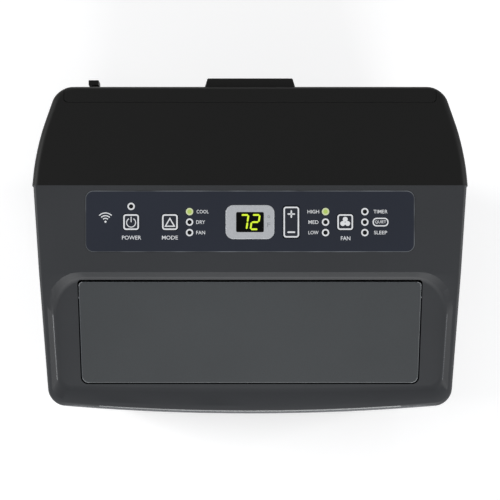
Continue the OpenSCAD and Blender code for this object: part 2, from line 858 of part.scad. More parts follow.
module compressor() {
  color("#1a1b1c")
  translate([compressor_at.x, compressor_at.y, 0]) {
    rotate_extrude() polygon([
      [0, can_z], [compressor_r - 22, can_z], [compressor_r - 8, can_z + 6], [compressor_r, can_z + 18],
      [compressor_r, can_z + compressor_h - 20], [compressor_r - 8, can_z + compressor_h - 6],
      [compressor_r - 24, can_z + compressor_h], [0, can_z + compressor_h]]);
    difference() {
      translate([0, 0, can_z - 6]) linear_extrude(6) polygon(rounded(
        [for (a = [30, 150, 270]) (compressor_r + 40) * [cos(a), sin(a)]], [24, 24, 24]));
      for (a = [30, 150, 270])
        translate([74 * cos(a), 74 * sin(a), can_z - 10]) cylinder(r = 6.5, h = 20);
    }
    translate([22, 0, can_z + compressor_h - 3]) cylinder(r = 17, h = 16);
    translate([-24, 0, can_z + compressor_h - 3]) cylinder(r = 4.5, h = 12);
  }
}

// Three rubber grommets with their studs and nuts
module compressor_mounts() {
  color("#2b2b2b")
  translate([compressor_at.x, compressor_at.y, 0])
    for (a = [30, 150, 270])
      translate([74 * cos(a), 74 * sin(a), pan_z + pan_t]) {
        cylinder(r = 11, h = can_z - 6 - pan_z - pan_t);
        cylinder(r = 6, h = can_z - pan_z - pan_t + 3);
        translate([0, 0, can_z - pan_z - pan_t + 3]) cylinder(r = 9, h = 2);
        translate([0, 0, can_z - pan_z - pan_t + 5]) cylinder(r = 5.5, h = 5, $fn = 6);
      }
}

module accumulator() {
  color("#1a1b1c")
  translate([accumulator_at.x, accumulator_at.y, 96])
    rotate_extrude() polygon([[0, 0], [10, 0], [20, 8], [22, 16], [22, 92], [18, 102], [6, 110], [0, 110]]);
}

// A tube along straight runs, with a ball at each corner
module pipe(pts, r) {
  for (i = [0:len(pts) - 2])
    let (run = pts[i + 1] - pts[i], l = norm(run))
    translate(pts[i]) rotate([0, acos(run.z / l), atan2(run.y, run.x)]) cylinder(r = r, h = l);
  for (i = [1:len(pts) - 2])
    translate(pts[i]) sphere(r = r);
}

module refrigerant_pipes() {
  mid = (coil_y0 + coil_y1) / 2;
  top = can_z + compressor_h;
  hot_x = -coil_half - 22;
  cold_x = -coil_half - 32;
  color("#b5683a") {
    pipe([[compressor_at.x - 24, compressor_at.y, top + 9], [compressor_at.x - 24, compressor_at.y, top + 36],
          [hot_x, compressor_at.y, top + 36], [hot_x, mid, top + 36], [hot_x, mid, cond_coil_z1 - pipe_drop],
          [-coil_half, mid, cond_coil_z1 - pipe_drop]], 3);
    pipe([[-coil_half, mid, evap_coil_z1 - pipe_drop], [cold_x, mid, evap_coil_z1 - pipe_drop], [cold_x, mid, top + 52],
          [cold_x, accumulator_at.y, top + 52], [accumulator_at.x, accumulator_at.y, top + 52],
          [accumulator_at.x, accumulator_at.y, 206]], 5);
  }
}

// Steel box for the run capacitor and relays, on two feet
module electrical_box() {
  x1 = half_w - 37;
  y0 = front_y + 18;
  color("#8d9095") {
    difference() {
      box([20, y0, 90], [x1, y0 + 74, 250]);
      box([22, y0 + 2, 92], [x1 - 2, y0 + 76, 248]);
    }
    difference() {
      box([18, y0 + 74, 88], [x1 + 2, y0 + 76, 252]);
      for (i = [0:7])
        box([40 + i * 14, y0 + 70, 110], [44 + i * 14, y0 + 80, 150]);
    }
    for (x = [40, x1 - 90])
      box([x, y0 + 20, pan_z + pan_t], [x + 20, y0 + 60, 90]);
  }
}

// ---- partitions and ducts ----

// Folded sheet that parts the cool air room from the hot one: low at the front, high at the rear
module air_partition() {
  t = 3;
  half = half_w - grip_deep - 10;
  color("#d9d9d6")
  difference() {
    intersection() {
      block(front_hw, wall + 1.5, shell_z);
      union() {
        box([-half, front_y, front_deck_z], [half, partition_y + t, front_deck_z + t]);
        box([-half, partition_y, front_deck_z], [half, partition_y + t, body_h - 34]);
        box([-half, partition_y, deck_z - t], [half, rear_y - 8, deck_z]);
      }
    }
    rod_y([0, partition_y - 10, evap_z], blower_r - 9, 40);
    translate([-coil_half - 32, (coil_y0 + coil_y1) / 2, deck_z - 10]) cylinder(r = 7, h = 20);
  }
}

module drain_pan() {
  color("#d9d9d6")
  difference() {
    union() {
      difference() {
        box([-coil_half - 12, coil_y0 - 6, deck_z], [coil_half + 12, coil_y1 + 7, deck_z + 19]);
        box([-coil_half - 10, coil_y0 - 4, deck_z + 2], [coil_half + 10, coil_y1 + 5, deck_z + 30]);
      }
      rod_y([upper_spout.x, coil_y1 + 5, upper_spout.y], spout_r, rear_y + 10 - coil_y1 - 5);
    }
    rod_y([upper_spout.x, coil_y1, upper_spout.y], spout_r - 2.5, 60);
  }
}

// Box that turns the hot air to the rear, with a finger guard in its mouth
module exhaust_duct() {
  t = 2;
  half = collar_r + 17;
  bar = 2.4;
  guard_y = exhaust_y1 - 16;
  color("#303337") {
    difference() {
      box([-half, exhaust_y0, exhaust_z0], [half, exhaust_y1, deck_z - 3]);
      box([-half + t, exhaust_y0 + t, exhaust_z0 + t], [half - t, exhaust_y1 - t, deck_z - 3 - t]);
      rod_y([0, exhaust_y1 - 10, collar_z], collar_r - 3, 20);
      box([cond_x - scroll_r1 + scroll_t, cond_y0 - 5 + scroll_t, exhaust_z0 - 1],
          [cond_x - scroll_r0 * cos(tongue) - scroll_t, cond_y0 - 5 + cond_scroll_d() - scroll_t, exhaust_z0 + 5]);
    }
    // Finger guard across the duct, behind the hose
    for (x = [-48:16:48])
      box([x - bar / 2, guard_y, exhaust_z0 + 1], [x + bar / 2, guard_y + t, deck_z - 4]);
    for (z = [-32, 0, 32])
      box([1 - half, guard_y, collar_z + z - bar / 2], [half - 1, guard_y + t, collar_z + z + bar / 2]);
  }
}

// Collar on the rear wall that the exhaust hose's end slides into
module exhaust_collar() {
  color("#202121")
  difference() {
    union() {
      rod_y([0, exhaust_y1, collar_z], collar_r + collar_t, rear_y + rear_reach - exhaust_y1);
      rod_y([0, rear_y, collar_z], collar_r + 16, 3);
    }
    rod_y([0, exhaust_y1 - 5, collar_z], collar_r, 80);
  }
}

// ---- small fittings ----

// Rubber cap pushed over a drain spout
module drain_cap(at) {
  color("#111111")
  difference() {
    union() {
      rod_y([at.x, rear_y + slip, at.y], spout_r + 2.5, 13);
      rod_y([at.x, rear_y + slip + 11, at.y], spout_r + 3.5, 2);
    }
    rod_y([at.x, rear_y, at.y], spout_r + run_gap, 10.5);
  }
}

// Two prongs, one turned up and one turned down, that the cord is wound on
module cord_hooks() {
  color("#202121")
  for (i = [0, 1]) {
    z = hook_zs[i];
    up = i == 0 ? 1 : -1;
    translate([hook_x, rear_y, z]) mirror([0, 0, i]) {
      slab_xz(-hook_w / 2 - 3, hook_w / 2 + 3, 0, 2, -14, 22, 4);
      box([-hook_w / 2, 1, -4], [hook_w / 2, rear_reach, 2]);
      box([-hook_w / 2, rear_reach - 5, -4], [hook_w / 2, rear_reach, 20]);
    }
  }
}

// Bush that the mains cord would leave by
module cord_gland() {
  color("#111111")
  difference() {
    union() {
      rod_y([gland_x, rear_y - 10, gland_z], 8.8, 10);
      rod_y([gland_x, rear_y, gland_z], 12, 3);
      rod_y([gland_x, rear_y + 3, gland_z], 7.5, 7);
    }
    rod_y([gland_x, rear_y - 20, gland_z], gland_r, 60);
  }
}

// Pan-head screws that hold the rear shell
module case_screws() {
  color("#3a3a3a")
  for (side = [-1, 1], z = screw_zs)
    difference() {
      union() {
        rod_y([side * screw_x, rear_y - 10, z], 1.5, 11);
        rod_y([side * screw_x, rear_y, z], 4, 2.2);
      }
      box([side * screw_x - 2.4, rear_y + 1.2, z - 0.5], [side * screw_x + 2.4, rear_y + 5, z + 0.5]);
      box([side * screw_x - 0.5, rear_y + 1.2, z - 2.4], [side * screw_x + 0.5, rear_y + 5, z + 2.4]);
    }
}

// ---- base and casters ----

module ring(d0, d1, z0, z1) {
  translate([0, 0, z0]) linear_extrude(z1 - z0) difference() {
    polygon(plan(front_hw, d0));
    polygon(plan(front_hw, d1));
  }
}

module base_pan() {
  boss_r = stem_r + 4;
  color("#202121")
  difference() {
    union() {
      ring(0, 3, skirt_z, shell_z);
      ring(wall + 0.4, wall + 2.8, pan_z, shell_z + 12);
      translate([0, 0, pan_z]) linear_extrude(pan_t) polygon(plan(front_hw, 2));
      for (p = casters)
        translate([p.x, p.y, pan_z]) cylinder(r = boss_r, h = 18);
      rod_y([lower_spout.x, rear_y - 8, lower_spout.y], spout_r, 18);
    }
    for (p = casters)
      translate([p.x, p.y, pan_z - 5]) cylinder(r = stem_r + run_gap, h = 40);
    rod_y([lower_spout.x, rear_y - 30, lower_spout.y], spout_r - 2.5, 60);
  }
}

// Hood, web and stem of a twin-wheel caster that trails towards +Y
module caster_frame(p) {
  color("#1d1e20")
  translate([p.x, p.y, 0]) {
    cylinder_from(stem_r, hood_r + wheel_r - 0.5, pan_z + 17);
    cylinder_from(13, hood_r + wheel_r - 0.5, hood_r + wheel_r + 2.5);
    difference() {
      union() {
        rod_x([-web_t / 2, trail, wheel_r], 8, web_t);
        rotate([90, 0, 90]) translate([0, 0, -web_t / 2]) linear_extrude(web_t)
          polygon([[trail - 8, wheel_r], [trail + 8, wheel_r], [trail + 10, wheel_r + hood_r - 3],
                   [10, wheel_r + hood_r + 0.5], [-10, wheel_r + hood_r + 0.5]]);
        difference() {
          rod_x([-wheel_w - web_t / 2 - 1.3, trail, wheel_r], hood_r, 2 * wheel_w + web_t + 2.6);
          rod_x([-30, trail, wheel_r], wheel_r + 1.6, 60);
          box([-40, -60, -40], [40, 80, wheel_r + 6]);
        }
      }
      rod_x([-30, trail, wheel_r], axle_r + run_gap, 60);
    }
  }
}

module cylinder_from(r, z0, z1) {
  translate([0, 0, z0]) cylinder(r = r, h = z1 - z0);
}

module caster_wheels(p) {
  gap = 0.8;
  color("#2a2b2d")
  translate([p.x, p.y + trail, wheel_r]) {
    rod_x([-web_t / 2 - gap - 1, 0, 0], axle_r, web_t + 2 * gap + 2);
    for (side = [-1, 1])
      translate([side * (web_t / 2 + gap), 0, 0]) rotate([0, side * 90, 0]) difference() {
        union() {
          cylinder(r = wheel_r, h = wheel_w - 1.5);
          cylinder(r = wheel_r - 1.5, h = wheel_w);
        }
        translate([0, 0, wheel_w - 3]) difference() {
          cylinder(r = wheel_r - 5, h = 10);
          translate([0, 0, -1]) cylinder(r = 6, h = 12);
        }
      }
  }
}

base_pan();
front_shell();
rear_shell();
upper_grille();
filter_frame();
lower_grille();
louver_flap();
flap_liner();
flap_shaft();
flap_motor();
outlet_duct();
vane(0);  // vane_1
vane(1);  // vane_2
vane(2);  // vane_3
vane(3);  // vane_4
vane(4);  // vane_5
vane_link();
control_overlay();
display_bezel();
display_window();
display_module();
indicator_leds();
square_key(power_x);  // power_key
square_key(mode_x);  // mode_key
temp_rocker();
square_key(fan_x);  // fan_key
control_board();
control_tray();
evaporator_coil();
evap_blower_wheel();
evap_blower_motor();
evap_scroll();
condenser_coil();
cond_blower_wheel();
cond_blower_motor();
cond_scroll();
compressor();
accumulator();
compressor_mounts();
refrigerant_pipes();
electrical_box();
air_partition();
drain_pan();
exhaust_duct();
exhaust_collar();
drain_cap(upper_spout);  // upper_drain_cap
drain_cap(lower_spout);  // lower_drain_cap
cord_hooks();
cord_gland();
case_screws();
handle(-1);  // handle_left
handle(1);  // handle_right
caster_frame(casters[0]);  // caster_frame_1
caster_frame(casters[1]);  // caster_frame_2
caster_frame(casters[2]);  // caster_frame_3
caster_frame(casters[3]);  // caster_frame_4
caster_wheels(casters[0]);  // caster_wheels_1
caster_wheels(casters[1]);  // caster_wheels_2
caster_wheels(casters[2]);  // caster_wheels_3
caster_wheels(casters[3]);  // caster_wheels_4
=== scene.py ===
import math

import bpy
from mathutils import Matrix, Vector


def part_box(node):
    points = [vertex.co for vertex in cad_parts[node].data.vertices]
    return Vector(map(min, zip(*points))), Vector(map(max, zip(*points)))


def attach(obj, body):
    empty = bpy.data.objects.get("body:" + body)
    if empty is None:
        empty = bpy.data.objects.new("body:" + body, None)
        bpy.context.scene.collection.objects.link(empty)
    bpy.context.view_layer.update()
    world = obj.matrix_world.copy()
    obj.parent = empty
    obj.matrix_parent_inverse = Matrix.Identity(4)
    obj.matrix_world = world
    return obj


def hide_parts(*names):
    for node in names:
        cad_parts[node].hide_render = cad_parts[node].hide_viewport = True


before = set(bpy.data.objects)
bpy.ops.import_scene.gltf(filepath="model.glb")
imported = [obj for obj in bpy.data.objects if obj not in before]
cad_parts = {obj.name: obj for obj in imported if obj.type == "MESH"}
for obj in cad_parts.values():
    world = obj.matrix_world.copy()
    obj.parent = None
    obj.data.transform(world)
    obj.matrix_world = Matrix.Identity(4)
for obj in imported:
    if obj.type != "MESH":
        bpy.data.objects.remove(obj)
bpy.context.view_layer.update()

MM = 0.001


# ---- The studio ----
# A pale floor, a soft even room and four large lamps round the machine, with the camera almost
# straight above the panel, a little towards the user.

def linear(colour):
    """A hex colour as the linear red, green, blue and alpha that the shaders take."""
    parts = [int(colour[i:i + 2], 16) / 255 for i in (1, 3, 5)]
    return [c / 12.92 if c <= 0.04045 else ((c + 0.055) / 1.055) ** 2.4 for c in parts] + [1.0]


def add_node(tree, kind, inputs=(), **settings):
    """Adds a shader node with its settings; inputs gives a socket a value, or another node's socket."""
    made = tree.nodes.new("ShaderNode" + kind)
    for name, value in settings.items():
        setattr(made, name, value)
    for socket, value in dict(inputs).items():
        if isinstance(value, bpy.types.NodeSocket):
            tree.links.new(value, made.inputs[socket])
        else:
            made.inputs[socket].default_value = value
    return made


bpy.context.scene.view_settings.view_transform = "Standard"

TARGET = Vector((0, -14, 695)) * MM
CAMERA_AWAY = 1900 * MM
CAMERA_RISE = math.radians(85.5)
LENS = 137.8
ROOM_SIZE = 12
bpy.ops.object.select_all(action="DESELECT")
bpy.ops.object.camera_add()
camera = bpy.context.object
camera.data.lens = LENS
camera.data.clip_end = 20
camera.location = TARGET + CAMERA_AWAY * Vector((0, -math.cos(CAMERA_RISE), math.sin(CAMERA_RISE)))
camera.rotation_euler = (math.pi / 2 - CAMERA_RISE, 0, 0)
bpy.context.scene.camera = camera

bpy.ops.object.select_all(action="DESELECT")
bpy.ops.mesh.primitive_plane_add(size=ROOM_SIZE)
floor = bpy.context.object
floor.name = "floor"
floor_paint = bpy.data.materials.new("matt_white_floor_paint")
floor_paint.use_nodes = True
for socket, value in (("Base Color", linear("#fcfcfc")), ("Roughness", 0.9),
                      ("Emission Color", linear("#ffffff")), ("Emission Strength", 0.25)):
    floor_paint.node_tree.nodes["Principled BSDF"].inputs[socket].default_value = value
floor.data.materials.append(floor_paint)

room = bpy.data.worlds.new("room")
bpy.context.scene.world = room
room.use_nodes = True
room.node_tree.nodes["Background"].inputs["Color"].default_value = linear("#f6f7fa")
room.node_tree.nodes["Background"].inputs["Strength"].default_value = 0.25


def softbox(name, place, size, watts):
    """A square lamp that faces the top of the machine."""
    bpy.ops.object.light_add(type="AREA", location=place)
    lamp = bpy.context.object
    lamp.name = name
    lamp.data.size = size
    lamp.data.energy = watts
    lamp.rotation_euler = (TARGET - Vector(place)).to_track_quat("-Z", "Y").to_euler()


softbox("lamp_left", (-2.7, 0.3, 2.1), 1.6, 52)
softbox("lamp_right", (2.7, -0.1, 2.0), 1.6, 38)
softbox("lamp_rear", (-0.2, 3.0, 1.7), 1.8, 16)
softbox("lamp_front", (0.3, -2.9, 2.1), 1.8, 56)


# ---- Front shell ----
# The charcoal half of the case: one ABS moulding, 2.5 mm thick, with a sloping control plane and a
# dished outlet plane. It is modelled as a solid block that is rounded, dished and then hollowed.

WALL = 2.5
FRONT_LOW, FRONT_HIGH = (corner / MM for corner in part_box("front_shell"))
REAR_LOW, REAR_HIGH = (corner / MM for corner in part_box("rear_shell"))
FRONT_HALF = FRONT_HIGH.x
REAR_HALF = REAR_HIGH.x
FRONT_Y = FRONT_LOW.y
REAR_Y = REAR_HIGH.y
CREASE_Y = REAR_LOW.y
TOP_Z = REAR_HIGH.z
SHELL_Z = REAR_LOW.z
MID_Y = CREASE_Y + 38
KINK_Y = CREASE_Y - 87.5
FRONT_BOW, FRONT_STRIPS = 9, 16
FRONT_TAPER, FLANK_TAPER, REAR_TAPER = 14, 3.2, 24
REAR_SLOPE, CONTROL_SLOPE, FLAP_SLOPE = (math.radians(a) for a in (2, 5, 12))
KINK_Z = TOP_Z - (CREASE_Y - KINK_Y) * math.tan(CONTROL_SLOPE)
ON_CONTROL = Matrix.Translation(Vector((0, CREASE_Y, TOP_Z)) * MM) @ Matrix.Rotation(CONTROL_SLOPE, 4, "X")
ON_FLAP = Matrix.Translation(Vector((0, KINK_Y, KINK_Z)) * MM) @ Matrix.Rotation(FLAP_SLOPE, 4, "X")
NEAR = 0.01         # closer than this, in millimetres, is the same place
FAR = 400


def alone(ob):
    """Makes ob the only selected object, and the active one."""
    bpy.ops.object.select_all(action="DESELECT")
    bpy.context.view_layer.objects.active = ob
    ob.select_set(True)
    return ob


def block(low, high):
    """A block between two corners, in millimetres, with its place in its mesh."""
    low, high = Vector(low) * MM, Vector(high) * MM
    bpy.ops.object.select_all(action="DESELECT")
    bpy.ops.mesh.primitive_cube_add(size=1, location=(low + high) / 2)
    bpy.context.object.scale = high - low
    bpy.ops.object.transform_apply(location=True, rotation=True, scale=True)
    return bpy.context.object


def edit_edges(ob, chosen):
    """Opens ob in edit mode with the edges selected whose two ends, in millimetres, chosen accepts."""
    alone(ob)
    bpy.context.tool_settings.mesh_select_mode = (False, True, False)
    bpy.ops.object.mode_set(mode="EDIT")
    bpy.ops.mesh.select_all(action="DESELECT")
    bpy.ops.object.mode_set(mode="OBJECT")
    at = [v.co / MM for v in ob.data.vertices]
    for e in ob.data.edges:
        e.select = bool(chosen(at[e.vertices[0]], at[e.vertices[1]]))
    bpy.ops.object.mode_set(mode="EDIT")


def edit_faces(ob, chosen):
    """Opens ob in edit mode with the faces selected whose centre and normal chosen accepts."""
    alone(ob)
    bpy.context.tool_settings.mesh_select_mode = (False, False, True)
    bpy.ops.object.mode_set(mode="EDIT")
    bpy.ops.mesh.select_all(action="DESELECT")
    bpy.ops.object.mode_set(mode="OBJECT")
    for f in ob.data.polygons:
        f.select = bool(chosen(f.center / MM, f.normal))
    bpy.ops.object.mode_set(mode="EDIT")


def shift(ob, chosen, by):
    """Moves the vertices that chosen accepts, by so many millimetres."""
    alone(ob)
    bpy.context.tool_settings.mesh_select_mode = (True, False, False)
    bpy.ops.object.mode_set(mode="EDIT")
    bpy.ops.mesh.select_all(action="DESELECT")
    bpy.ops.object.mode_set(mode="OBJECT")
    for v in ob.data.vertices:
        v.select = bool(chosen(v.co / MM))
    bpy.ops.object.mode_set(mode="EDIT")
    bpy.ops.transform.translate(value=Vector(by) * MM)
    bpy.ops.object.mode_set(mode="OBJECT")


def bevel(ob, width, segments, chosen):
    """Rounds the edges that chosen accepts."""
    edit_edges(ob, chosen)
    bpy.ops.mesh.bevel(offset=width * MM, segments=segments, affect="EDGES", clamp_overlap=True)
    bpy.ops.object.mode_set(mode="OBJECT")
    return ob


def where_faces_meet(ob, first, second, place=lambda a, b: True):
    """A test for the edges where a face whose normal passes first meets one that passes second."""
    sides = {}
    for f in ob.data.polygons:
        for key in f.edge_keys:
            sides.setdefault(key, []).append(f.normal)
    at = [v.co / MM for v in ob.data.vertices]
    found = set()
    for (i, j), normals in sides.items():
        if len(normals) == 2 and place(at[i], at[j]):
            n, m = normals
            if (first(n) and second(m)) or (first(m) and second(n)):
                found.add(frozenset((tuple(at[i]), tuple(at[j]))))
    return lambda a, b: frozenset((tuple(a), tuple(b))) in found


def slice_off(ob, at, normal):
    """Cuts away what lies beyond a plane and closes the cut."""
    edit_faces(ob, lambda centre, facing: True)
    bpy.ops.mesh.bisect(plane_co=Vector(at) * MM, plane_no=normal, use_fill=True, clear_outer=True)
    bpy.ops.object.mode_set(mode="OBJECT")


def combine(ob, how, *tools):
    """Cuts ob with each tool, keeps what they share or adds them, and takes the tools away."""
    alone(ob)
    for tool in tools:
        step = ob.modifiers.new("combine", "BOOLEAN")
        step.operation = how
        step.solver = "EXACT"
        step.object = tool
        bpy.ops.object.modifier_apply(modifier="combine")
        bpy.data.objects.remove(tool)
    return ob


def joined(parts):
    """Several objects as one."""
    bpy.ops.object.select_all(action="DESELECT")
    for part in parts:
        part.select_set(True)
    bpy.context.view_layer.objects.active = parts[0]
    bpy.ops.object.join()
    return bpy.context.object


def laid_on(plane, ob):
    """Lays a shape that was made level at the origin on one of the sloping planes."""
    ob.data.transform(plane)
    return ob


def body_block(half, d):
    """The body as a solid block up to its roof; d is how far every side is moved inwards."""
    x, front, rear = half - d, FRONT_Y + FRONT_BOW + d, REAR_Y - d
    low = SHELL_Z - (20 if d else 0)
    ob = block((-x, front, low), (x, rear, TOP_Z + 30))
    for y in (MID_Y, CREASE_Y):
        edit_faces(ob, lambda centre, facing: True)
        bpy.ops.mesh.bisect(plane_co=(0, y * MM, 0), plane_no=(0, 1, 0))
        bpy.ops.object.mode_set(mode="OBJECT")
    for side in (-1, 1):
        for y, narrower in ((rear, REAR_TAPER), (MID_Y, FLANK_TAPER), (front, FRONT_TAPER)):
            shift(ob, lambda v: abs(v.y - y) < NEAR and v.x * side > 0, (-side * narrower, 0, 0))
    edit_edges(ob, lambda a, b: abs(a.y - front) + abs(b.y - front) < NEAR and abs(a.z - b.z) < NEAR)
    bpy.ops.mesh.subdivide(number_cuts=FRONT_STRIPS - 1)
    bpy.ops.object.mode_set(mode="OBJECT")
    for i in range(1, FRONT_STRIPS):
        across = 2 * i / FRONT_STRIPS - 1
        shift(ob, lambda v: abs(v.y - front) < NEAR and abs(v.x - across * (x - FRONT_TAPER)) < 1,
              (0, -FRONT_BOW * (1 - across ** 2), 0))

    def corner_at(y):
        """A test for the upright edges at the two corners at y."""
        return lambda a, b: abs(a.z - b.z) > 100 and abs(a.y - y) < NEAR and abs(a.x) > 170
    bevel(ob, 25, 8, corner_at(MID_Y))
    bevel(ob, 15.4 - d * 0.77, 9, corner_at(rear))
    bevel(ob, 15.4 - d * 0.85, 9, corner_at(front))
    for y, z, slope in ((CREASE_Y, TOP_Z, -REAR_SLOPE), (CREASE_Y, TOP_Z, CONTROL_SLOPE),
                        (KINK_Y, KINK_Z, FLAP_SLOPE)):
        normal = Vector((0, -math.sin(slope), math.cos(slope)))
        slice_off(ob, Vector((0, y, z)) - normal * d, normal)
    return ob


def round_top(ob, side, end):
    """Rounds the edges between the roof and the walls, but not the crease, by two radii."""
    found = where_faces_meet(ob, lambda n: n.z > 0.9, lambda n: abs(n.z) < 0.3,
                             lambda a, b: abs(a.y - CREASE_Y) + abs(b.y - CREASE_Y) > NEAR)
    at = [v.co / MM for v in ob.data.vertices]
    weights = ob.data.attributes.new("bevel_weight_edge", "FLOAT", "EDGE")
    for e, weight in zip(ob.data.edges, weights.data):
        a, b = (at[i] for i in e.vertices)
        if found(a, b):
            lengthways = abs((b - a).normalized().y)
            weight.value = (end + (side - end) * lengthways) / max(side, end)
    alone(ob)
    step = ob.modifiers.new("round", "BEVEL")
    step.limit_method = "WEIGHT"
    step.width = max(side, end) * MM
    step.segments = 6
    bpy.ops.object.modifier_apply(modifier="round")
    ob.data.attributes.remove(ob.data.attributes["bevel_weight_edge"])


def slab(x0, x1, y0, y1, z0, z1, r, segments=6):
    """A level plate with its upright edges rounded."""
    ob = block((x0, y0, z0), (x1, y1, z1))
    return bevel(ob, r, segments, lambda a, b: abs(a.x - b.x) + abs(a.y - b.y) < NEAR) if r else ob


DISH_HALF, DISH_REAR, DISH_FRONT, DISH_DEPTH = 197.5, -5.2, -119, 5
DISH_SIDE_LEAN, DISH_FRONT_LEAN, DISH_REAR_LEAN = 6, 14.6, 7.2
DISH_STRIPS = 12


def dish_block(grow):
    """What the outlet's dish takes out of the block, grown by so many millimetres."""
    half, rear, front, low = DISH_HALF + grow, DISH_REAR + grow, DISH_FRONT - grow, -DISH_DEPTH - grow
    ob = block((-half, front, low), (half, rear, 0))
    edit_edges(ob, lambda a, b: abs(a.y - front) + abs(b.y - front) < NEAR and abs(a.z - b.z) < NEAR)
    bpy.ops.mesh.subdivide(number_cuts=DISH_STRIPS - 1)
    bpy.ops.object.mode_set(mode="OBJECT")
    for i in range(DISH_STRIPS + 1):
        across = 2 * i / DISH_STRIPS - 1
        for z, reach, bow in ((low, 0, 3.5), (0, DISH_FRONT_LEAN, 7)):
            # The middle of the foot stands back by a hair
            hair = 2 * NEAR if reach == 0 and across == 0 else 0
            shift(ob, lambda v: abs(v.y - front) < NEAR and abs(v.z - z) < NEAR
                  and abs(v.x - across * half) < 1,
                  (-DISH_SIDE_LEAN * across, bow * across ** 2 - reach + hair, 0))
    shift(ob, lambda v: v.z > -NEAR and abs(v.y - rear) < NEAR, (0, DISH_REAR_LEAN, 0))
    for side in (-1, 1):
        shift(ob, lambda v: v.z > -NEAR and v.x * side > half - DISH_SIDE_LEAN - NEAR,
              (DISH_SIDE_LEAN * side, 0, 0))
    edit_faces(ob, lambda centre, facing: facing.z > 0.9)
    bpy.ops.mesh.extrude_region_move(TRANSFORM_OT_translate={"value": (0, 0, 20 * MM)})
    bpy.ops.object.mode_set(mode="OBJECT")
    bevel(ob, 33, 10, lambda a, b: abs(a.z - b.z) > 2 and a.y > -40 and abs(a.x) > 150)
    bevel(ob, 11, 6, lambda a, b: abs(a.z - b.z) > 2 and a.y < -80 and abs(a.x) > half - 12)
    bevel(ob, 2.6, 4, where_faces_meet(ob, lambda n: n.z < -0.95, lambda n: n.z > -0.95))
    return laid_on(ON_FLAP, ob)


FLAP_HALF, FLAP_FRONT, FLAP_TAPER = 171, -111.4, 2.6


def flap_outline(grow, rear, z0, z1):
    """The flap's trapezoid as a solid, grown by so many millimetres, up to its rear edge."""
    ob = block((-FLAP_HALF - grow, FLAP_FRONT - grow, z0), (FLAP_HALF + grow, rear, z1))
    for side in (-1, 1):
        shift(ob, lambda v: v.y < -60 and v.x * side > 0, (-FLAP_TAPER * side, 0, 0))
    bevel(ob, 7, 6, lambda a, b: abs(a.z - b.z) > 1 and a.y < -60)
    bevel(ob, 4, 5, lambda a, b: abs(a.z - b.z) > 1 and a.y > -60)
    return ob


def new_finish(name):
    """A new material, with its node tree, its shader, and the place on the piece that patterns read."""
    made = bpy.data.materials.new(name)
    made.use_nodes = True
    tree = made.node_tree
    return made, tree, tree.nodes["Principled BSDF"], add_node(tree, "TexCoord").outputs["Object"]


def moulded_plastic(name, colour, roughness, grain, relief, gloss=0.5):
    """Moulded thermoplastic: an etched grain, so wide and deep in millimetres, and faint drifts of tone."""
    made, tree, shader, place = new_finish(name)
    drift = add_node(tree, "TexNoise", {"Vector": place, "Scale": 7, "Detail": 3}).outputs[0]
    fine = add_node(tree, "TexNoise", {"Vector": place, "Scale": 1 / (grain * MM), "Detail": 2}).outputs[0]
    both = add_node(tree, "Math", {0: drift, 1: fine}, operation="ADD").outputs[0]
    mean = add_node(tree, "Math", {0: both, 1: 0.5}, operation="MULTIPLY").outputs[0]
    tone = add_node(tree, "ValToRGB", {0: mean})
    r, g, b, _ = linear(colour)
    for stop, share in zip(tone.color_ramp.elements, (0.86, 1.14)):
        stop.position = 0.3 if share < 1 else 0.7
        stop.color = (r * share, g * share, b * share, 1)
    tree.links.new(tone.outputs["Color"], shader.inputs["Base Color"])
    sheen = add_node(tree, "MapRange", {0: fine, 3: roughness - 0.05, 4: roughness + 0.05}).outputs[0]
    tree.links.new(sheen, shader.inputs["Roughness"])
    bump = add_node(tree, "Bump", {"Height": fine, "Strength": 0.4, "Distance": relief * MM}).outputs[0]
    tree.links.new(bump, shader.inputs["Normal"])
    shader.inputs["Specular IOR Level"].default_value = gloss
    return made


def finished(ob, name, body, slot, material, *nodes):
    """Names a piece, smooths it, gives it its material and lets it ride in place of its CAD nodes."""
    ob.name = ob.data.name = name
    alone(ob)
    bpy.ops.object.shade_smooth_by_angle(angle=math.radians(35))
    ob.modifiers.new("even_shading", "WEIGHTED_NORMAL").keep_sharp = True
    bpy.ops.object.modifier_apply(modifier="even_shading")
    ob.data.materials.clear()
    ob.data.materials.append(material)
    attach(ob, body)
    if nodes:
        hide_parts(*nodes)
    return ob


# ABS from an etched mould: a fine satin grain that scatters the studio light evenly
charcoal_abs = moulded_plastic("charcoal_textured_abs", "#2f3134", 0.5, 0.9, 0.05)

# The mould's etched grain stops short of its edges, so they are smoother; their lighter colour is a painted
# highlight, a thin white line
charcoal_edge_painted_highlight = moulded_plastic("charcoal_polished_edge_abs_painted_highlight", "#4a4d51", 0.27, 0.9, 0.005, 0.9)


def edges_with_painted_highlight(ob, material, upright, place):
    """Gives a painted highlight material to the faces that tilt between two slopes, where place accepts
    their x, y and z on the outlet plane."""
    ob.data.materials.append(material)
    low, high = upright
    for f in ob.data.polygons:
        if low < f.normal.dot(FLAP_NORMAL) < high and place(*(ON_FLAP.inverted() @ f.center / MM)):
            f.material_index = len(ob.data.materials) - 1


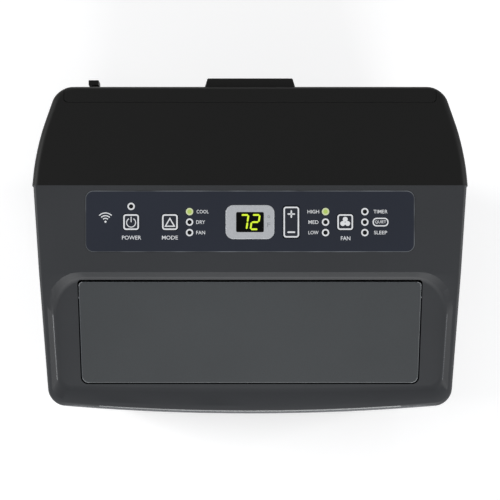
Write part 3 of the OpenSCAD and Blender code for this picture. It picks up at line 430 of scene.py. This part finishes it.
GRIP_LOW, GRIP_HIGH = (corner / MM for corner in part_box("handle_left"))
front_shell = body_block(FRONT_HALF, 0)
slice_off(front_shell, (0, CREASE_Y, 0), (0, 1, 0))
round_top(front_shell, 3.2, 4)
combine(front_shell, "DIFFERENCE", dish_block(0))
FLAP_NORMAL = (ON_FLAP.to_3x3() @ Vector((0, 0, 1))).normalized()
CONTROL_NORMAL = (ON_CONTROL.to_3x3() @ Vector((0, 0, 1))).normalized()
FLAT = 0.9995       # how closely a face must point along a plane's normal to lie on that plane
bevel(front_shell, 1.8, 4, where_faces_meet(
    front_shell, lambda n: n.dot(FLAP_NORMAL) > FLAT or n.dot(CONTROL_NORMAL) > FLAT,
    lambda n: 0.1 < n.z < 0.97,
    lambda a, b: all(abs(v.x) < DISH_HALF + 1.5 and -170.5 < v.y < KINK_Y + 5 for v in (a, b))))
cavity = body_block(FRONT_HALF, WALL)
round_top(cavity, 1.5, 2)
combine(cavity, "DIFFERENCE", dish_block(WALL))
OVERLAY_HALF, OVERLAY_FRONT, OVERLAY_REAR, OVERLAY_SEAT = 163.5, -66.3, -5.3, -1.2
FIT = 0.25
GRIP_X = 181
combine(front_shell, "DIFFERENCE", cavity,
        laid_on(ON_FLAP, flap_outline(1.2, -6.8, -12, 12)),
        laid_on(ON_CONTROL, slab(-OVERLAY_HALF - FIT, OVERLAY_HALF + FIT, OVERLAY_FRONT - FIT,
                                 OVERLAY_REAR + FIT, OVERLAY_SEAT, 20, 8)),
        laid_on(ON_CONTROL, slab(11 - OVERLAY_HALF, OVERLAY_HALF - 11, OVERLAY_FRONT + 5,
                                 OVERLAY_REAR - 5, -9, 1, 2)),
        *(block((side * GRIP_X - (0 if side > 0 else FAR), GRIP_LOW.y - FIT, GRIP_LOW.z - FIT),
                (side * GRIP_X + (FAR if side > 0 else 0), GRIP_HIGH.y + FIT, GRIP_HIGH.z + FIT))
          for side in (-1, 1)))
finished(front_shell, "front_shell_moulding", "housing", "front_shell", charcoal_abs, "front_shell")
# Painted highlights: a lighter colour on the front lip and on the dish's shoulders beside the flap
edges_with_painted_highlight(front_shell, charcoal_edge_painted_highlight, (0.5, 0.96), lambda x, y, z: z > -12 and y < -133.5)
edges_with_painted_highlight(front_shell, charcoal_edge_painted_highlight, (0.8, 0.91),
               lambda x, y, z: -DISH_DEPTH - 0.2 < z < -2 and y < -62 and abs(x) > FLAP_HALF + 1)


# ---- Rear shell ----
# The black half of the case, of the same thickness, with a lip that steps 1.5 mm proud of the front
# shell along the crease, side louvres, and openings for the cover, the grille, the collar and spouts.

# The same etched grain in black ABS, with less gloss, so the top reads as one even dark field
black_abs = moulded_plastic("black_textured_abs", "#0e0e0d", 0.5, 0.9, 0.06, 0.32)
rear_shell = body_block(REAR_HALF, 0)
slice_off(rear_shell, (0, CREASE_Y, 0), (0, -1, 0))
round_top(rear_shell, 7, 3.5)
hollow = body_block(REAR_HALF, WALL)
round_top(hollow, 5, 1.5)
combine(rear_shell, "DIFFERENCE", hollow)


def rod(radius, length, place, axis, vertices=48):
    """A cylinder, in millimetres, centred on a place and turned along an axis."""
    turn = {"X": (0, math.pi / 2, 0), "Y": (math.pi / 2, 0, 0), "Z": (0, 0, 0)}[axis]
    bpy.ops.object.select_all(action="DESELECT")
    bpy.ops.mesh.primitive_cylinder_add(vertices=vertices, radius=radius * MM, depth=length * MM,
                                        location=Vector(place) * MM, rotation=turn)
    bpy.ops.object.transform_apply(location=True, rotation=True, scale=True)
    return bpy.context.object


def copy_of(ob):
    """A second object with its own mesh."""
    other = ob.copy()
    other.data = ob.data.copy()
    bpy.context.collection.objects.link(other)
    return other


LIP_HALF, LIP_FRONT, LIP_LOW = 185.6, REAR_Y - 16, TOP_Z - 28
COVER_HALF, COVER_LOW = 152, TOP_Z - 216
COVER_PLAY = 0.45


def cover_room(grow):
    """The space of the filter cover: a lip on the top, and a narrower plate down the rear wall."""
    lip = slab(-LIP_HALF - grow, LIP_HALF + grow, LIP_FRONT - grow, REAR_Y + 40,
               LIP_LOW - grow, TOP_Z + 20, 4)
    plate = block((-COVER_HALF - grow, REAR_Y - 12, COVER_LOW - grow),
                  (COVER_HALF + grow, REAR_Y + 39, LIP_LOW + 1))
    return combine(lip, "UNION", plate)


SLOT, SLOT_PITCH, SLOT_BAR = 5, 9, 7


def slot_rows(half, z0, z1):
    """Three columns of air slots as one cutter."""
    width = (2 * half - 4 * SLOT_BAR) / 3
    first = block((SLOT_BAR - half, REAR_Y - 8, z0), (SLOT_BAR - half + width, REAR_Y + 8, z0 + SLOT))
    cuts = []
    for row in range(int((z1 - SLOT - z0) / SLOT_PITCH) + 1):
        for column in range(3):
            cut = copy_of(first)
            step = Vector((column * (width + SLOT_BAR), 0, row * SLOT_PITCH)) * MM
            cut.data.transform(Matrix.Translation(step))
            cuts.append(cut)
    bpy.data.objects.remove(first)
    return joined(cuts)


cover = copy_of(rear_shell)
LOUVRE_ROWS = range(100, 281, 12)
side_cuts = joined([block((side * REAR_HALF - 30, CREASE_Y + 22, z),
                          (side * REAR_HALF + 30, REAR_Y - 30, z + SLOT))
                    for side in (-1, 1) for z in LOUVRE_ROWS])
GRILLE_LOW, GRILLE_HIGH = (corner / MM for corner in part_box("lower_grille"))
GRILLE_GAP = 0.5
COLLAR_Z, COLLAR_HOLE = 385, 71.5
GLAND, GLAND_HOLE = (-161, REAR_Y, 150), 9
SPOUT, SPOUT_HOLE = (148, REAR_Y, 471), 8.5
SCREW_X, SCREW_ROWS = 166, (92, 432, 654)
screw_holes = joined([rod(1.8, 20, (side * SCREW_X, REAR_Y, z), "Y", 20)
                      for side in (-1, 1) for z in SCREW_ROWS])
combine(rear_shell, "DIFFERENCE", cover_room(COVER_PLAY), side_cuts, screw_holes,
        block((GRILLE_LOW.x - GRILLE_GAP, REAR_Y - 10, GRILLE_LOW.z - GRILLE_GAP),
              (GRILLE_HIGH.x + GRILLE_GAP, REAR_Y + 10, GRILLE_HIGH.z + GRILLE_GAP)),
        rod(COLLAR_HOLE, 40, (0, REAR_Y, COLLAR_Z), "Y", 96), rod(GLAND_HOLE, 40, GLAND, "Y"),
        rod(SPOUT_HOLE, 40, SPOUT, "Y"))


def knuckles(radius, length):
    """The two barrels at the foot of the filter cover that it tilts about."""
    return joined([rod(radius, length, (x, REAR_Y, COVER_LOW), "X") for x in (-124, 124)])


combine(rear_shell, "DIFFERENCE", knuckles(2.7, 17))
finished(rear_shell, "rear_shell_moulding", "housing", "rear_shell", black_abs, "rear_shell")


# ---- Filter cover ----
# The lift-off cover over the washable filter: black ABS like the rear shell, slotted for the room
# air, with a finger tab moulded on its top edge.

combine(cover, "INTERSECT", cover_room(0))
bevel(cover, 0.7, 3, where_faces_meet(cover, lambda n: n.z > 0.9, lambda n: n.y < -0.3))
combine(cover, "DIFFERENCE", slot_rows(COVER_HALF, COVER_LOW + 12, LIP_LOW - 4))
TAB_HALF = 45.5
tab = block((-TAB_HALF, REAR_Y - 1, TOP_Z - 17), (TAB_HALF, REAR_Y + 9, TOP_Z - 9))
for side in (-1, 1):
    shift(tab, lambda v: v.y > REAR_Y and v.x * side > 0, (-3 * side, 0, 0))
bevel(tab, 1.2, 3, lambda a, b: a.y > REAR_Y + 5 and b.y > REAR_Y + 5)
combine(cover, "UNION", tab, knuckles(2.2, 16))
finished(cover, "filter_cover", "rear_cover", "rear_shell", black_abs, "upper_grille")
# A polished edge with a lighter colour painted on as a highlight, which draws the lip's seam as a faint line
# of light
black_edge_painted_highlight = moulded_plastic("black_polished_edge_abs_painted_highlight", "#2c2c2b", 0.2, 0.9, 0.004, 0.9)
EDGE_TILTS = (0.25, 0.93)       # the faces of a rounded edge, which are neither upright nor level
edges_with_painted_highlight(cover, black_edge_painted_highlight, EDGE_TILTS, lambda x, y, z: z > -5 and y < REAR_Y - KINK_Y - 9)


# ---- Flap ----
# The outlet's cover: a grey ABS tray that lies flush in the dish with its skirt turned down, and
# swings on a steel shaft through three knuckles.

# Satin ABS from a finer etched mould, which looks a shade lighter than the case round it
grey_abs = moulded_plastic("grey_satin_abs", "#414446", 0.4, 0.8, 0.03)
FLAP_REAR, FLAP_TOP, FLAP_LOW, RECESS = -9, -4.6, -11.1, 4
HINGE_Y, HINGE_Z, HINGE_R = -25, -17.1, 6.5
flap = flap_outline(0, FLAP_REAR, FLAP_LOW, FLAP_TOP)
bevel(flap, 1.1, 3, lambda a, b: min(a.z, b.z) > FLAP_TOP - 0.1)
edit_faces(flap, lambda centre, facing: facing.z < -0.9)
bpy.ops.mesh.inset(thickness=WALL * MM)
bpy.ops.transform.translate(value=(0, 0, RECESS * MM))
bpy.ops.object.mode_set(mode="OBJECT")
for x in (-157, 0, 157):
    knuckle = joined([rod(HINGE_R, 8, (x, HINGE_Y, HINGE_Z), "X"),
                      block((x - 4, HINGE_Y - 5, HINGE_Z), (x + 4, HINGE_Y + 5, FLAP_LOW + RECESS + 0.6))])
    flap = joined([flap, knuckle])
laid_on(ON_FLAP, flap)
finished(flap, "outlet_flap", "flap", "flap", grey_abs, "louver_flap")
# Polished mould edges with a lighter colour painted on as a highlight: a thin bright line round the flap
grey_edge_painted_highlight = moulded_plastic("grey_polished_edge_abs_painted_highlight", "#6a6e72", 0.16, 0.8, 0.004, 0.9)
edges_with_painted_highlight(flap, grey_edge_painted_highlight, EDGE_TILTS, lambda x, y, z: z > -7)
# A painted highlight: the flap's rounded corners are coloured pale
grey_corner_painted_highlight = moulded_plastic("grey_corner_abs_painted_highlight", "#b2b6ba", 0.25, 0.8, 0.01)
edges_with_painted_highlight(flap, grey_corner_painted_highlight, EDGE_TILTS,
               lambda x, y, z: z > -7 and abs(x) > 160 and not -105.5 < y < -13)


# ---- Control overlay ----
# A satin navy polycarbonate plate, 1.5 mm thick, glued in a shallow pocket of the control plane, with
# windows for the keys, the display and the ten light pipes. Its turned edge carries a thin painted highlight
# line.

ROW_Y = -36.5
KEY = 16.3
POWER_X, MODE_X, TEMP_X, FAN_X = -118, -79.5, 41, 94.5
ROCKER_TALL = 15.95
LINE = 10.4
LIGHTS = [(POWER_X, ROW_Y + 15.6)] + [(x, ROW_Y + step) for x in (-60, 75, 114) for step in (LINE, 0, -LINE)]
BEZEL_HALF, BEZEL_TALL, BEZEL_R = 24.2, 16.9, 7.5
OVERLAY_TOP = 0.3
# Back-printed film under a satin face: a deep blue-grey with almost no grain
navy_film = moulded_plastic("navy_satin_polycarbonate_film", "#1f2430", 0.42, 0.6, 0.02)


def key_slab(x, half, tall, grow, z0, z1, r=3):
    """A plate centred on the row of keys, half as wide and half as tall as given, and grown all round."""
    return slab(x - half - grow, x + half + grow, ROW_Y - tall - grow, ROW_Y + tall + grow, z0, z1, r)


overlay = slab(-OVERLAY_HALF, OVERLAY_HALF, OVERLAY_FRONT, OVERLAY_REAR, OVERLAY_SEAT, OVERLAY_TOP, 8, 10)
bevel(overlay, 0.55, 2, lambda a, b: a.z > 0 and b.z > 0)
cutters = [key_slab(x, KEY / 2, KEY / 2, 0.3, -5, 5) for x in (POWER_X, MODE_X, FAN_X)]
cutters += [key_slab(TEMP_X, KEY / 2, ROCKER_TALL, 0.5, -5, 5),
            key_slab(0, BEZEL_HALF, BEZEL_TALL, 0.1, -5, 5, BEZEL_R)]
cutters += [rod(2.9, 10, (x, y, 0), "Z", 32) for x, y in LIGHTS]
combine(overlay, "DIFFERENCE", joined(cutters))
finished(laid_on(ON_CONTROL, overlay), "control_overlay_plate", "housing", "overlay", navy_film,
         "control_overlay")


def tinted(tree, shader, colour, share):
    """Gives the shader a colour that a socket makes darker and lighter."""
    tint = add_node(tree, "VectorMath", {0: linear(colour)[:3], "Scale": share}, operation="SCALE")
    tree.links.new(tint.outputs[0], shader.inputs["Base Color"])


# Its cut edge is clear and polished; a pale colour, brighter and dimmer in patches along it, is painted on as
# a highlight, a fine pale outline
clear_edge_painted_highlight, tree, shader, place = new_finish("polished_clear_polycarbonate_painted_highlight")
drift = add_node(tree, "TexNoise", {"Vector": place, "Scale": 1 / (30 * MM), "Detail": 1}).outputs[0]
share = add_node(tree, "MapRange", {0: drift, 1: 0.35, 2: 0.65, 3: 0.6, 4: 1.5}).outputs[0]
tinted(tree, shader, "#5d6064", share)
shader.inputs["Roughness"].default_value = 0.2
rim = slab(-OVERLAY_HALF, OVERLAY_HALF, OVERLAY_FRONT, OVERLAY_REAR, -0.4, OVERLAY_TOP + 0.02, 8, 10)
edit_faces(rim, lambda centre, facing: abs(facing.z) > 0.9)
bpy.ops.mesh.inset(thickness=0.75 * MM)
bpy.ops.mesh.delete(type="FACE")
bpy.ops.object.mode_set(mode="OBJECT")
finished(laid_on(ON_CONTROL, rim), "control_overlay_edge", "housing", "overlay", clear_edge_painted_highlight)


# ---- Display ----
# A silver-painted ABS bezel round a smoked acrylic window, with a two-digit, seven-bar display
# glowing yellow-green behind it, and pale marks for the scale beside it.

# Aluminium flake in a clear binder: a soft grey sparkle
silver_paint, tree, shader, place = new_finish("silver_metallic_paint")
flake = add_node(tree, "TexVoronoi", {"Vector": place, "Scale": 1 / (0.7 * MM)}).outputs["Color"]
glint = add_node(tree, "MapRange", {0: flake, 3: 0.88, 4: 1.06}).outputs[0]
tinted(tree, shader, "#c8cbcf", glint)
shader.inputs["Metallic"].default_value = 0.3
shader.inputs["Roughness"].default_value = 0.42

BEZEL_TOP, WINDOW_TOP = 0.8, 0.5
bezel = key_slab(0, BEZEL_HALF, BEZEL_TALL, 0, OVERLAY_SEAT, BEZEL_TOP, BEZEL_R)
bevel(bezel, 0.6, 3, lambda a, b: min(a.z, b.z) > BEZEL_TOP - 0.1)
combine(bezel, "DIFFERENCE", key_slab(0, 13.8, 10, 0, -5, 5, 1.5))
finished(laid_on(ON_CONTROL, bezel), "display_bezel_frame", "housing", "bezel", silver_paint, "display_bezel")


def plain(name, colour, roughness, **sockets):
    """A surface whose tone drifts a little over 4 mm, as print and small mouldings do."""
    made, tree, shader, place = new_finish(name)
    drift = add_node(tree, "TexNoise", {"Vector": place, "Scale": 1 / (4 * MM), "Detail": 2}).outputs[0]
    share = add_node(tree, "MapRange", {0: drift, 3: 0.9, 4: 1.1}).outputs[0]
    tinted(tree, shader, colour, share)
    shader.inputs["Roughness"].default_value = roughness
    for socket, value in sockets.items():
        shader.inputs[socket.replace("_", " ")].default_value = value
    return made


# Polished, and nearly black until the digits light up
smoked_acrylic = plain("smoked_acrylic", "#030403", 0.1, Specular_IOR_Level=0.25)
window = key_slab(0, 13.7, 9.9, 0, OVERLAY_SEAT, WINDOW_TOP, 1.4)
bevel(window, 0.3, 2, lambda a, b: min(a.z, b.z) > WINDOW_TOP - 0.1)
finished(laid_on(ON_CONTROL, window), "display_window_pane", "housing", "smoked_window", smoked_acrylic,
         "display_window")

# Light through a diffuser: flat, and brighter than anything round it
digit_glow = plain("lit_display_bars", "#c6dc2c", 0.4, Emission_Color=linear("#b4d22e"),
                   Emission_Strength=0.52)
ON_PANEL = ON_CONTROL @ Matrix.Translation(Vector((0, ROW_Y, 0)) * MM)


def flat_bar(length, width, x, y, turn, z):
    """A thin bar of print with cut corners, level on the panel."""
    bpy.ops.object.select_all(action="DESELECT")
    bpy.ops.mesh.primitive_plane_add(size=1)
    bar = bpy.context.object
    bar.data.transform(Matrix.Diagonal((length * MM, width * MM, 1, 1)))
    edit_faces(bar, lambda centre, facing: True)
    bpy.ops.mesh.bevel(offset=width * 0.35 * MM, segments=1, affect="VERTICES")
    bpy.ops.object.mode_set(mode="OBJECT")
    bar.data.transform(Matrix.Translation(Vector((x, y, z)) * MM)
                       @ Matrix.Rotation(math.radians(turn), 4, "Z"))
    return bar


DIGIT_HALF, DIGIT_TALL = 3.6, 7.1
BARS = {"top": (0, DIGIT_TALL, 0), "middle": (0, 0, 0), "bottom": (0, -DIGIT_TALL, 0),
        "upper_right": (DIGIT_HALF, DIGIT_TALL / 2, 90), "lower_right": (DIGIT_HALF, -DIGIT_TALL / 2, 90),
        "lower_left": (-DIGIT_HALF, -DIGIT_TALL / 2, 90)}
DIGITS = {7: ("top", "upper_right", "lower_right"),
          2: ("top", "upper_right", "middle", "lower_left", "bottom")}
lean = Matrix.Identity(4)
lean[0][1] = 0.14
bars = []
for digit, x in ((7, -6.1), (2, 5.1)):
    for bar in DIGITS[digit]:
        bx, by, turn = BARS[bar]
        made = flat_bar(6.4, 1.75, bx, by, turn, 0)
        made.data.transform(Matrix.Translation(Vector((x, 0, WINDOW_TOP + 0.03)) * MM) @ lean)
        bars.append(made)
digits = joined(bars)
finished(laid_on(ON_PANEL, digits), "display_digits", "housing", "display", digit_glow)


# ---- Keys ----
# Three square keys and a rocking key, moulded with a slightly rounded top and printed with their
# marks. Each stands 0.9 mm proud in its window, and presses down onto a switch.

# Fine-grained ABS in the overlay's own dark blue-grey, so that a key shows only by its print
key_plastic = moulded_plastic("dark_key_plastic", "#1f232d", 0.45, 0.5, 0.02)
KEY_TOP = 0.9
ROCKER_PIN_Z = -5
KEYS = (("power_key", POWER_X, KEY / 2, (0,)), ("mode_key", MODE_X, KEY / 2, (0,)),
        ("fan_key", FAN_X, KEY / 2, (0,)), ("temp_rocker", TEMP_X, ROCKER_TALL, (-11, 11)))
for name, x, tall, stems in KEYS:
    cap = key_slab(x, KEY / 2, tall, 0, -1.8, KEY_TOP)
    bevel(cap, 0.6, 3, lambda a, b: min(a.z, b.z) > KEY_TOP - 0.1)
    posts = [rod(2, 6.7, (x, ROW_Y + y, -5.1), "Z", 24) for y in stems]
    if name == "temp_rocker":
        posts += [block((x - 7.15, ROW_Y - 2, -6.2), (x + 7.15, ROW_Y + 2, -1.5)),
                  rod(1.2, 21.5, (x, ROW_Y, ROCKER_PIN_Z), "X", 24)]
    finished(laid_on(ON_CONTROL, joined([cap] + posts)), name + "_cap", name, "key", key_plastic, name)


# ---- Printing ----
# Pale grey pad print, too thin to feel: outlines and marks on the keys, and plain words and rings
# on the overlay.

# Matt silicone ink, which scatters light evenly and reads as a clean pale grey
grey_ink = plain("pale_grey_pad_print", "#e4e6e8", 0.55)


def ring_of(outline, line):
    """Keeps only a border, so many millimetres wide, of a flat shape."""
    edit_faces(outline, lambda centre, facing: True)
    bpy.ops.mesh.inset(thickness=line * MM)
    bpy.ops.mesh.delete(type="FACE")
    bpy.ops.object.mode_set(mode="OBJECT")
    return outline


def flat_box(half_x, half_y, r):
    """A flat shape with rounded corners."""
    bpy.ops.object.select_all(action="DESELECT")
    bpy.ops.mesh.primitive_plane_add(size=1)
    box = bpy.context.object
    box.data.transform(Matrix.Diagonal((2 * half_x * MM, 2 * half_y * MM, 1, 1)))
    edit_faces(box, lambda centre, facing: True)
    bpy.ops.mesh.bevel(offset=r * MM, segments=6, affect="VERTICES")
    bpy.ops.object.mode_set(mode="OBJECT")
    return box


def flat_disc(r, x=0, y=0, vertices=40):
    """A flat disc, or with few vertices a flat polygon."""
    bpy.ops.object.select_all(action="DESELECT")
    bpy.ops.mesh.primitive_circle_add(vertices=vertices, radius=r * MM, fill_type="NGON")
    disc = bpy.context.object
    disc.data.transform(Matrix.Translation(Vector((x, y, 0)) * MM))
    return disc


def arc(r, line, half_angle, x=0, y=0, towards=90):
    """Part of a ring, so many degrees each side of the way it faces."""
    ring = ring_of(flat_disc(r, vertices=72), line)
    aim = math.radians(towards)
    edit_faces(ring, lambda centre, facing: abs(math.degrees(
        (math.atan2(centre.y, centre.x) - aim + math.pi) % (2 * math.pi) - math.pi)) > half_angle)
    bpy.ops.mesh.delete(type="FACE")
    bpy.ops.object.mode_set(mode="OBJECT")
    ring.data.transform(Matrix.Translation(Vector((x, y, 0)) * MM))
    return ring


def word(letters, height, x, y, width):
    """A printed word, its capitals so high, centred at a place and squeezed to a width."""
    bpy.ops.object.select_all(action="DESELECT")
    bpy.ops.object.text_add()
    text = bpy.context.object
    text.data.body = letters
    text.data.align_x = "CENTER"
    text.data.resolution_u = 3
    text.data.offset = 0.006
    bpy.ops.object.convert(target="MESH")
    text = bpy.context.object
    xs = [v.co.x for v in text.data.vertices]
    ys = [v.co.y for v in text.data.vertices]
    middle = Vector(((min(xs) + max(xs)) / 2, (min(ys) + max(ys)) / 2, 0))
    fit = (width * MM / (max(xs) - min(xs)), height * MM / (max(ys) - min(ys)), 1, 1)
    text.data.transform(Matrix.Translation(Vector((x, y, 0)) * MM) @ Matrix.Diagonal(fit)
                        @ Matrix.Translation(-middle))
    return text


def printed(parts, name, body, plane_z, x=0, ink=grey_ink):
    """Flat marks lifted just clear of the face that carries them."""
    marks = joined(parts)
    marks.data.transform(ON_PANEL @ Matrix.Translation(Vector((x, 0, plane_z + 0.04)) * MM))
    finished(marks, name, body, "key" if body != "housing" else "overlay", ink)


OUTLINE_HALF = 7.75


def outline(half_y=OUTLINE_HALF):
    """The rounded line round a key's face."""
    return ring_of(flat_box(OUTLINE_HALF, half_y, 2.7), 1.45)


printed([outline(), arc(4.9, 0.9, 152, 0, -0.5, 270), flat_bar(5.6, 0.9, 0, 2.6, 90, 0)],
        "power_key_print", "power_key", KEY_TOP, POWER_X)
triangle = ring_of(flat_disc(6.3, vertices=3), 1.15)
triangle.data.transform(Matrix.Translation((0, -1.5 * MM, 0)))
printed([outline(), triangle], "mode_key_print", "mode_key", KEY_TOP, MODE_X)
printed([outline(15.3), flat_bar(7.6, 1.5, 0, 8, 0, 0), flat_bar(7.6, 1.5, 0, 8, 90, 0),
         flat_bar(7.8, 1.6, 0, -10, 0, 0)], "temp_rocker_print", "temp_rocker", KEY_TOP, TEMP_X)
LOBE_R, LOBE_OUT = 2.45, 2.8
lobes = [flat_disc(LOBE_R, LOBE_OUT * math.cos(math.radians(a)), LOBE_OUT * math.sin(math.radians(a)))
         for a in (90, 210, 330)]
printed([outline()] + lobes, "fan_key_print", "fan_key", KEY_TOP, FAN_X)

BIG, SMALL = 3.9, 3.5
LAST_X, WAVES = 129.6, (-143.5, 0.4)
words = [word("POWER", BIG, POWER_X + 0.4, -15.4, 19), word("MODE", BIG, MODE_X, -15.4, 15.8),
         word("COOL", SMALL, -47, LINE, 12), word("DRY", SMALL, -49, 0, 8.8),
         word("FAN", SMALL, -49, -LINE, 8.8), word("HIGH", SMALL, 62.8, LINE, 11.6),
         word("MED", SMALL, 63, 0, 10), word("LOW", SMALL, 63, -LINE, 10),
         word("FAN", BIG, 94.9, -16, 9.4), word("TIMER", SMALL, LAST_X, LINE, 14),
         word("QUIET", 3.3, LAST_X, 0, 11), word("SLEEP", SMALL, LAST_X, -LINE, 13)]
pill = ring_of(flat_box(7.9, 4.3, 4), 1.2)
pill.data.transform(Matrix.Translation(Vector((LAST_X, 0, 0)) * MM))
waves = [flat_disc(1.05, *WAVES)] + [arc(r, 1.05, 46, *WAVES) for r in (3.9, 6.5, 9.2)]
printed(words + [pill] + waves, "overlay_print", "housing", OVERLAY_TOP)

# The same ink in mid grey, faint on the silver bezel
faint_ink = plain("grey_print_on_silver", "#8f9296", 0.5)
degree = joined([ring_of(flat_disc(1.3, 18.6, 5.4), 0.55), word("F", 4.2, 18.6, -2.6, 3)])
degree.data.transform(ON_PANEL @ Matrix.Translation((0, 0, 0.84 * MM)))
finished(degree, "scale_mark", "housing", "bezel", faint_ink)


# ---- Light pipes ----
# Ten moulded acrylic rods that bring the lamps on the board up to the overlay, each with a printed
# ring at its end. Two are lit, and the others look dark inside their rings.

PIPE_TOP, PIPE_LENGTH = 0.5, 13.9
# Frosted acrylic over a green lamp glows softly; over a lamp that is off it looks black
lit_pipe = plain("lit_acrylic", "#9fb45c", 0.35, Emission_Color=linear("#a9c05a"),
                 Emission_Strength=0.3)
dark_pipe = plain("unlit_acrylic", "#0a0b0c", 0.2)
lit_ring_ink = plain("pad_print_tinted_by_the_lamp", "#d3dcae", 0.5)
LIT = {1, 4}      # the lights beside COOL and HIGH
for i, (x, y) in enumerate(LIGHTS):
    pipe = rod(2.78, PIPE_LENGTH, (x, y, PIPE_TOP - PIPE_LENGTH / 2), "Z", 40)
    bevel(pipe, 0.5, 3, lambda a, b: min(a.z, b.z) > PIPE_TOP - 0.1)
    finished(laid_on(ON_CONTROL, pipe), f"light_pipe_{i + 1}", "housing", "light_pipe",
             lit_pipe if i in LIT else dark_pipe, *(["indicator_leds"] if i == 0 else []))
    printed([ring_of(flat_disc(3.65, x, y - ROW_Y), 1.45)], f"light_ring_{i + 1}", "housing", PIPE_TOP,
            ink=lit_ring_ink if i in LIT else grey_ink)


# ---- Base pan, casters and rear fittings ----
# The black ABS pan under the case, four twin-wheel nylon casters that swivel in it, and on the rear
# wall the lower grille, the hose collar, two cord hooks, the cord gland, screws and drain caps.

def coat(material, *names):
    """Gives CAD nodes that keep their own shape a material."""
    for name in names:
        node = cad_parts[name]
        node.data.materials.clear()
        node.data.materials.append(material)


WHEELS = [f"caster_wheels_{i}" for i in range(1, 5)]
# Nylon comes from the mould with a soft satin skin; rubber is duller and takes in the light
nylon = moulded_plastic("black_moulded_nylon", "#191919", 0.5, 0.8, 0.04)
rubber = moulded_plastic("black_moulded_rubber", "#121212", 0.75, 0.5, 0.08, 0.3)
coat(black_abs, "base_pan", "lower_grille", "exhaust_collar", "cord_hooks")
coat(nylon, "cord_gland", *(f"caster_frame_{i}" for i in range(1, 5)))
coat(rubber, "upper_drain_cap", "lower_drain_cap", *WHEELS)
coat(charcoal_abs, "handle_left", "handle_right")


def metal(name, colour, roughness, pattern, size, spread):
    """Bare metal with a grain so many millimetres across, which its roughness follows."""
    made, tree, shader, place = new_finish(name)
    grain = add_node(tree, pattern, {"Vector": place, "Scale": 1 / (size * MM)}).outputs[0]
    share = add_node(tree, "MapRange", {0: grain, 3: 1 - spread, 4: 1 + spread}).outputs[0]
    tinted(tree, shader, colour, share)
    worn = add_node(tree, "MapRange", {0: grain, 3: roughness - 0.08, 4: roughness + 0.08}).outputs[0]
    tree.links.new(worn, shader.inputs["Roughness"])
    shader.inputs["Metallic"].default_value = 1
    return made


# Zinc plate: a bluish grey with faint patches from the bath
zinc = metal("zinc_plated_steel", "#b4b7bb", 0.38, "TexNoise", 5, 0.12)
coat(zinc, "case_screws", "flap_shaft")


# ---- Outlet ----
# The duct under the flap and the five upright vanes in it: glass-filled polypropylene, moulded black
# so that nothing shows in the dark of the outlet. The flap's underside has a foam skin.

# Glass fibre near the surface makes it dull and slightly rough; foam is duller still, and soft to the eye
black_pp = moulded_plastic("black_glass_filled_polypropylene", "#17181a", 0.6, 1.2, 0.06)
foam_skin = moulded_plastic("grey_closed_cell_foam", "#26282a", 0.85, 1.6, 0.25, 0.2)
coat(black_pp, "outlet_duct", "vane_link", "exhaust_duct", *(f"vane_{i}" for i in range(1, 6)))
coat(foam_skin, "flap_liner")


# ---- Works inside the case ----
# Two fin-and-tube coils with their blowers, the compressor and its pipes, foam dividers, the drain
# pan and the electrical parts. They show only through the outlet, the collar and the slots.

def board_green():
    """Green solder mask over copper tracks, 2.5 mm apart."""
    made, tree, shader, place = new_finish("green_solder_mask")
    tracks = add_node(tree, "TexBrick", {
        "Vector": place, "Scale": 1 / (5 * MM), "Color1": linear("#1e5a34"), "Color2": linear("#236640"),
        "Mortar": linear("#2f7a4b"), "Mortar Size": 0.06})
    tree.links.new(tracks.outputs["Color"], shader.inputs["Base Color"])
    shader.inputs["Roughness"].default_value = 0.3
    return made


def bead_foam():
    """Expanded polystyrene: white beads 3 mm across, pressed together."""
    made, tree, shader, place = new_finish("white_expanded_polystyrene")
    beads = add_node(tree, "TexVoronoi", {"Vector": place, "Scale": 1 / (3 * MM)}).outputs["Distance"]
    # Painted shade: the tone darkens towards the creases between the beads
    tone = add_node(tree, "MapRange", {0: beads, 3: 1.02, 4: 0.8}).outputs[0]
    tinted(tree, shader, "#dededa", tone)
    bump = add_node(tree, "Bump", {"Height": beads, "Strength": 0.5, "Distance": 0.4 * MM,
                                   "Filter Width": 0.1}, invert=True).outputs[0]
    tree.links.new(bump, shader.inputs["Normal"])
    shader.inputs["Roughness"].default_value = 0.85
    return made


# Stoved enamel is smooth and even; the compressor's is glossier, with sharp bright reflections
grey_enamel = plain("grey_stoved_enamel", "#7d8084", 0.4)
black_enamel = plain("black_gloss_enamel", "#1f1f20", 0.25, Coat_Weight=0.4)
# Rolled fin stock is bright and slightly clouded; drawn copper is warm, with darker patches from handling
coat(metal("aluminium_fin_stock", "#c6c8ca", 0.34, "TexNoise", 2, 0.1), "evaporator_coil", "condenser_coil")
coat(metal("drawn_copper_tube", "#c07a55", 0.3, "TexNoise", 8, 0.18), "refrigerant_pipes")
coat(grey_enamel, "evap_blower_motor", "cond_blower_motor", "flap_motor", "accumulator")
coat(black_enamel, "compressor")
coat(rubber, "compressor_mounts")
coat(bead_foam(), "air_partition", "drain_pan")
coat(board_green(), "control_board")
coat(black_pp, "evap_blower_wheel", "cond_blower_wheel", "evap_scroll", "cond_scroll", "control_tray",
     "filter_frame", "display_module")
coat(grey_enamel, "electrical_box")
